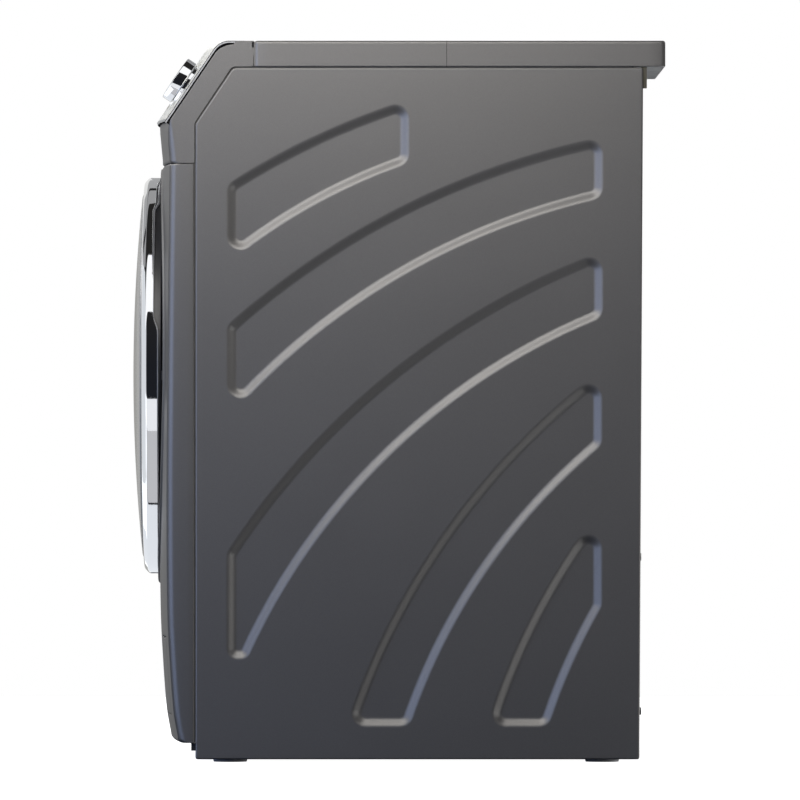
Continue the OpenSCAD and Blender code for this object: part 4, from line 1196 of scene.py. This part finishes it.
def drum_shell():
    """Stainless drum with real perforations, folded lip and closed back."""
    low, high = corners("drum_shell")
    r, front, back, mouth = high.x, low.y, high.y, 165.0
    around, along, blank = 66, 12, 12
    hole_r, dent_size, dent_depth = 2.3, 1.9, 0.7
    cell, spacing = math.tau / around, (back - front - 2 * blank) / along
    shape = Shape()
    for k in range(around):
        for j in range(along):
            u0, v0 = (k + 0.5 * (j % 2)) * cell, front + blank + j * spacing
            u1, v1 = u0 + cell, v0 + spacing
            box = [Vector(p) for p in ((u0, v0), (u1, v0), (u1, v1), (u0, v1))]
            ring = []
            for a, b in zip(box, box[1:] + box[:1]):
                ring += [a, a.lerp(b, 0.5)]
            middle = Vector((u0 + cell / 2, v0 + spacing / 2))
            hole = []
            for p in ring:
                d = Vector(((p.x - middle.x) * r, p.y - middle.y)).normalized()
                hole.append(middle + Vector((d.x * hole_r / r, d.y * hole_r)))
            dent = [middle + (q - middle) * dent_size for q in hole]
            rows = ((ring, r), (dent, r), (hole, r + dent_depth))
            shape.skin([[around_drum(height, q.y, q.x) for q in row] for row, height in rows])
    lip = [(r, front + blank, 0), (r, front, 5), (mouth, front, 3), (mouth, front + 10, 0)]
    bottom = [(r, front + blank + along * spacing, 0), (r, back, 8), (150, back, 12), (120, back - 4, 12),
              (16, back - 4, 0)]
    for path in (lip, bottom):
        shape.skin([[around_drum(p.x, p.y, t) for t in turns(around * 4)] for p in filleted(path, False)])
    shape.face()
    shape.done("drum_skin", DRUM, "drum", ["drum_shell"], wall=0.9, sharp=50)


def drum_lifters():
    """Three paddles with soft ridges, slimmer at their ends."""
    foot, front, length = 237.5, -170.0, 255.0
    section = filleted([
        (-30, foot, 0), (-9, 191, 12), (-6, 186.5, 5), (6, 186.5, 5), (9, 191, 12), (30, foot, 0)
    ], False, 5)
    shape = Shape()
    for a in (90, 210, 330):
        t = math.radians(a)
        out, side = Vector((math.cos(t), 0, -math.sin(t))), Vector((math.sin(t), 0, math.cos(t)))
        rows = []
        for k in range(21):
            f = k / 20
            slim = 1 - 0.35 * (1 - smooth(min(f, 1 - f) / 0.12))
            middle = Vector((0, front + length * f, DRUM_Z))
            rows.append([middle + side * p.x * slim + out * (foot - (foot - p.y) * slim) for p in section])
        shape.skin(rows, ends=True)
    shape.done("paddles", WHITE, "drum", ["drum_lifters"], sharp=60)


def springs():
    """Two coil springs with straight ends, stretching between the brace and the tub."""
    low, high = corners("suspension_springs")
    y = (low.y + high.y) / 2
    coil_low, coil_high = low.z + 18, low.z + 128
    per_coil = 14
    steps = 16 * per_coil
    for side, x in (("left", low.x + 9), ("right", high.x - 9)):
        points = [(x, y, low.z + 0.5), (x, y, low.z + 8)]
        for k in range(steps + 1):
            t = math.tau * k / per_coil
            r = 7.4 * smooth(min(k, steps - k) / 10)
            z = coil_low + (coil_high - coil_low) * k / steps
            points.append((x + r * math.cos(t), y + r * math.sin(t), z))
        points += [(x, y, coil_high + 8), (x, y, high.z - 0.5)]
        shape = Shape()
        tube(shape, points, 1.5, 8)
        nodes = ["suspension_springs"] if side == "right" else []
        spring = shape.done("spring_" + side, STEEL, None, nodes, sharp=60)
        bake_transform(spring)


# Each hose's route, which end of it is at the cabinet, its radius and the height of its ribs.
HOSES = {
    "sump_hose": ([(60, -60, 163.5), (60, -60, 150), (62, -68, 134), (70, -92, 116), (88, -128, 104),
                   (110, -160, 101), (130, -175, 100), (147.5, -175, 100)], -1, 13, 1.0),
    "fill_hose": ([(-190, -60, 743.5), (-190, -60, 735), (-183, -60, 722), (-170, -60, 716), (-157, -60, 711),
                   (-150, -60, 700), (-150, -60, 690.5)], 0, 11.2, 0.8),
}


def tub_hoses():
    """Ribbed rubber hoses."""
    for name, (route, first, radius, rib) in HOSES.items():
        shape = Shape()
        points = curve_through(route, 10)
        tube(shape, points, lambda t: radius + rib * math.sin(t * 90) * smooth(min(t, 1 - t) / 0.1), 24)
        hose = shape.done(name + "_ribbed", HOSE, None, [name], sharp=60)
        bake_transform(hose)


# ---------- Feet ----------

def feet():
    """Rubber pad under a nut and a threaded stem."""
    pad = filleted([(0.01, 0, 0), (19.4, 0, 1.2), (20, 3, 1), (19, 6.8, 1.5), (10, 7, 0), (0.01, 7, 0)])
    nut = filleted([(*p, 0.8) for p in circle(0, 0, 10, 6)], steps=3)
    pitch = 1.0
    for corner in ("front_left", "front_right", "rear_left", "rear_right"):
        name = "foot_" + corner
        low, high = corners(name)
        x, y = (low.x + high.x) / 2, (low.y + high.y) / 2
        shape = Shape()
        lathe_z(shape, pad, x, y)
        shape.done("foot_pad_" + corner, FOOT, name, sharp=45)
        shape = Shape()
        prism(shape, nut, lambda u, v, h: (x + u, y + v, h), 6.6, 11.5, 0.5, 2)
        thread = [(x, y, 11.0 + pitch / 2 * k) for k in range(int((high.z - 11.5) / (pitch / 2)))]
        tube(shape, thread, lambda t: 4.7 + 0.3 * math.cos(t * len(thread) * math.pi), 32)
        shape.done("foot_stem_" + corner, STEEL, name, [name], sharp=45)


# ---------- The pieces ----------

for side, sign in SIDES:
    side_panel(side, sign < 0)
seam_seals()
front_panel()
service_flap()
control_fascia()
control_housing()
panel_edges()
display_window()
drawer_front()
program_knob()
dial_marks()
buttons()
top_plate()
back_panel()
door_ring()
door_cover()
door_frame()
door_glass()
door_gasket()
drum_shell()
drum_lifters()
springs()
tub_hoses()
feet()


# ---------- CAD nodes that stay, with their finishes ----------

FINISHES = {
    RAIL: ["base_tray"],
    CLIP: ["rear_clips"],
    GALVANISED: ["cross_braces"],
    DIE_CAST: ["hinge_bracket", "door_hinge_arm", "drum_spider", "drum_pulley"],
    BLACK: ["door_lock", "mains_gland"],
    WHITE: ["dispenser_housing", "inlet_valve", "drawer_tray", "drain_pump", "pump_impeller"],
    PCB: ["control_board"],
    HOSE: ["drain_hose", "drive_belt", "shaft_seal"],
    GREY: ["transit_caps", "pump_filter"],
    STEEL: ["cabinet_screws", "damper_rods", "drum_shaft", "motor_pulley", "drum_bearings", "door_hook"],
    DAMPER: ["damper_cylinders"],
    TUB: ["tub_front", "tub_rear"],
    CONCRETE: ["front_counterweight", "top_counterweight"],
    MOTOR: ["motor_housing"],
    HEATER: ["heater"],
}


def cad_finishes():
    """Gives each CAD node that stays its material."""
    for look, names in FINISHES.items():
        for name in names:
            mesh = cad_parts[name].data
            mesh.materials.clear()
            mesh.materials.append(look)


cad_finishes()


# ---------- Floor, light and camera ----------

def floor():
    """Pale floor that the object neither mirrors nor is lit by."""
    shape = Shape()
    shape.skin([[(x, y, 0) for x in (-3000, 3000)] for y in (-3000, 3000)], closed=False)
    look = material("floor", (0.86, 0.86, 0.86), 0.7, Emission_Color=(1, 1, 1, 1), Emission_Strength=1.0)
    tint(look, noise(look, 60, 3.0), (0.2, (0.85, 0.85, 0.85)), (0.8, (0.88, 0.88, 0.88)))
    obj = shape.done("floor", look, None)
    obj.visible_diffuse = False
    obj.visible_glossy = False


def studio():
    """White backdrop for the camera and a dim room for everything else."""
    world = bpy.data.worlds.new("studio")
    bpy.context.scene.world = world
    world.use_nodes = True
    nodes, links = world.node_tree.nodes, world.node_tree.links
    seen, sky = nodes["Background"], nodes.new("ShaderNodeBackground")
    where, split, grade = (nodes.new("ShaderNode" + k) for k in ("TexCoord", "SeparateXYZ", "ValToRGB"))
    links.new(where.outputs["Generated"], split.inputs["Vector"])
    links.new(split.outputs["Z"], grade.inputs["Fac"])
    stops = grade.color_ramp.elements
    stops[0].position, stops[0].color = 0.1, (0.014, 0.015, 0.019, 1)
    stops[1].position, stops[1].color = 0.8, (0.022, 0.021, 0.02, 1)
    links.new(grade.outputs["Color"], sky.inputs["Color"])
    seen.inputs["Color"].default_value = (1, 1, 1, 1)
    mix, light_path = nodes.new("ShaderNodeMixShader"), nodes.new("ShaderNodeLightPath")
    links.new(light_path.outputs["Is Camera Ray"], mix.inputs["Fac"])
    links.new(sky.outputs["Background"], mix.inputs[1])
    links.new(seen.outputs["Background"], mix.inputs[2])
    links.new(mix.outputs["Shader"], nodes["World Output"].inputs["Surface"])


def softbox(name, place, aim, size, glow, colour=(1, 1, 1), receivers=None):
    """Area light whose face has the brightness glow, lighting only the receivers if given."""
    data = bpy.data.lights.new(name, "AREA")
    data.shape = "RECTANGLE"
    data.size, data.size_y = size
    data.energy = glow * math.pi * size[0] * size[1]
    data.color = colour
    obj = bpy.data.objects.new(name, data)
    bpy.context.scene.collection.objects.link(obj)
    obj.location = place
    facing = Vector(aim) - Vector(place)
    obj.rotation_euler = facing.to_track_quat("-Z", "Y").to_euler()
    if receivers:
        obj.light_linking.receiver_collection = receivers
    return obj


def group(name, members):
    """A collection of objects that lights can be linked to."""
    collection = bpy.data.collections.new(name)
    for obj in members:
        collection.objects.link(obj)
    return collection


# What the plated parts mirror on the right, as angles above the level: from, to, brightness, colour.
CARDS = [
    (36, 72, 1.2, (1, 1, 1)), (116, 134, 0.35, (1, 1, 1)), (138, 175, 0.4, (1, 1, 1)),
    (-31, -13, 1.0, (0.97, 0.98, 1)), (-77, -31, 0.6, (0.98, 0.98, 1)), (-165, -79, 0.95, (0.93, 0.96, 1))
]
CARD_REACH = 3.0
CARD_LENGTH = 9.0


def cards(plated):
    """Long light cards beside the door, each square to its own direction."""
    centre = Vector((0, -0.3, DRUM_Z * MM))
    across = Vector((0, 1, 0))
    for k, (low, high, glow, colour) in enumerate(CARDS):
        middle, half = math.radians((low + high) / 2), math.radians((high - low) / 2)
        back = Vector((math.cos(middle), 0, math.sin(middle)))
        place = centre + CARD_REACH * back
        size = (CARD_LENGTH, 2 * CARD_REACH * math.tan(half))
        obj = softbox("card_" + str(k), place, centre, size, glow, colour, plated)
        obj.rotation_euler = Matrix((across, back.cross(across), back)).transposed().to_euler()


def lights():
    """Softboxes, with the plated parts lit by cards of their own and everything else by the rest."""
    pieces = [o for o in bpy.data.objects if o.type == "MESH"]
    plated = group("plated", [o for o in pieces if CHROME.name in o.data.materials])
    others = group("others", [o for o in pieces if CHROME.name not in o.data.materials])
    softbox("side_key", (1.0, -0.33, 1.22), (0.3, -0.08, 0.6), (1.4, 0.6), 5.5, (1, 0.97, 0.925), others)
    softbox("front_fill", (1.7, -1.9, 0.5), (0.3, -0.2, 0.35), (2.4, 1.6), 2.5, (0.46, 0.6, 1.0), others)
    softbox("front_key", (-0.2, -2.4, 2.0), (0, -0.3, 0.5), (2.0, 1.4), 4.0, receivers=others)
    softbox("rear_fill", (-0.8, 2.6, 2.0), (0, 0.3, 0.5), (1.8, 1.4), 1.6, receivers=others)
    softbox("left_fill", (-2.4, -0.4, 2.2), (-0.3, 0, 0.6), (1.8, 1.4), 4.0, receivers=others)
    softbox("rear_bounce", (0, 1.1, 0.08), (0, 0.3, 0.8), (2.4, 0.8), 2.0, receivers=others)
    softbox("left_card", (-3.0, -1.5, 0.6), (0, -0.3, 0.5), (2.4, 2.4), 0.42, (1.0, 0.99, 0.95))
    cards(plated)
    softbox("front_card", (0.2, -3.2, -0.2), (0.1, -0.3, 0.3), (6.0, 5.0), 0.85, (0.94, 0.97, 1), plated)
    softbox("rear_card", (1.6, 2.4, 0.5), (0.1, -0.3, 0.5), (1.2, 2.4), 2.0, receivers=plated)


def camera():
    """A long lens 15 m to the right, square to the side panel."""
    data = bpy.data.cameras.new("camera")
    data.sensor_width = 36
    data.lens = 579
    data.clip_end = 100
    obj = bpy.data.objects.new("camera", data)
    bpy.context.scene.collection.objects.link(obj)
    obj.location = (15.3, 0.0036, 0.423)
    obj.rotation_euler = (QUARTER, 0, QUARTER)
    bpy.context.scene.camera = obj


floor()
studio()
lights()
camera()
bpy.context.scene.view_settings.view_transform = "Standard"
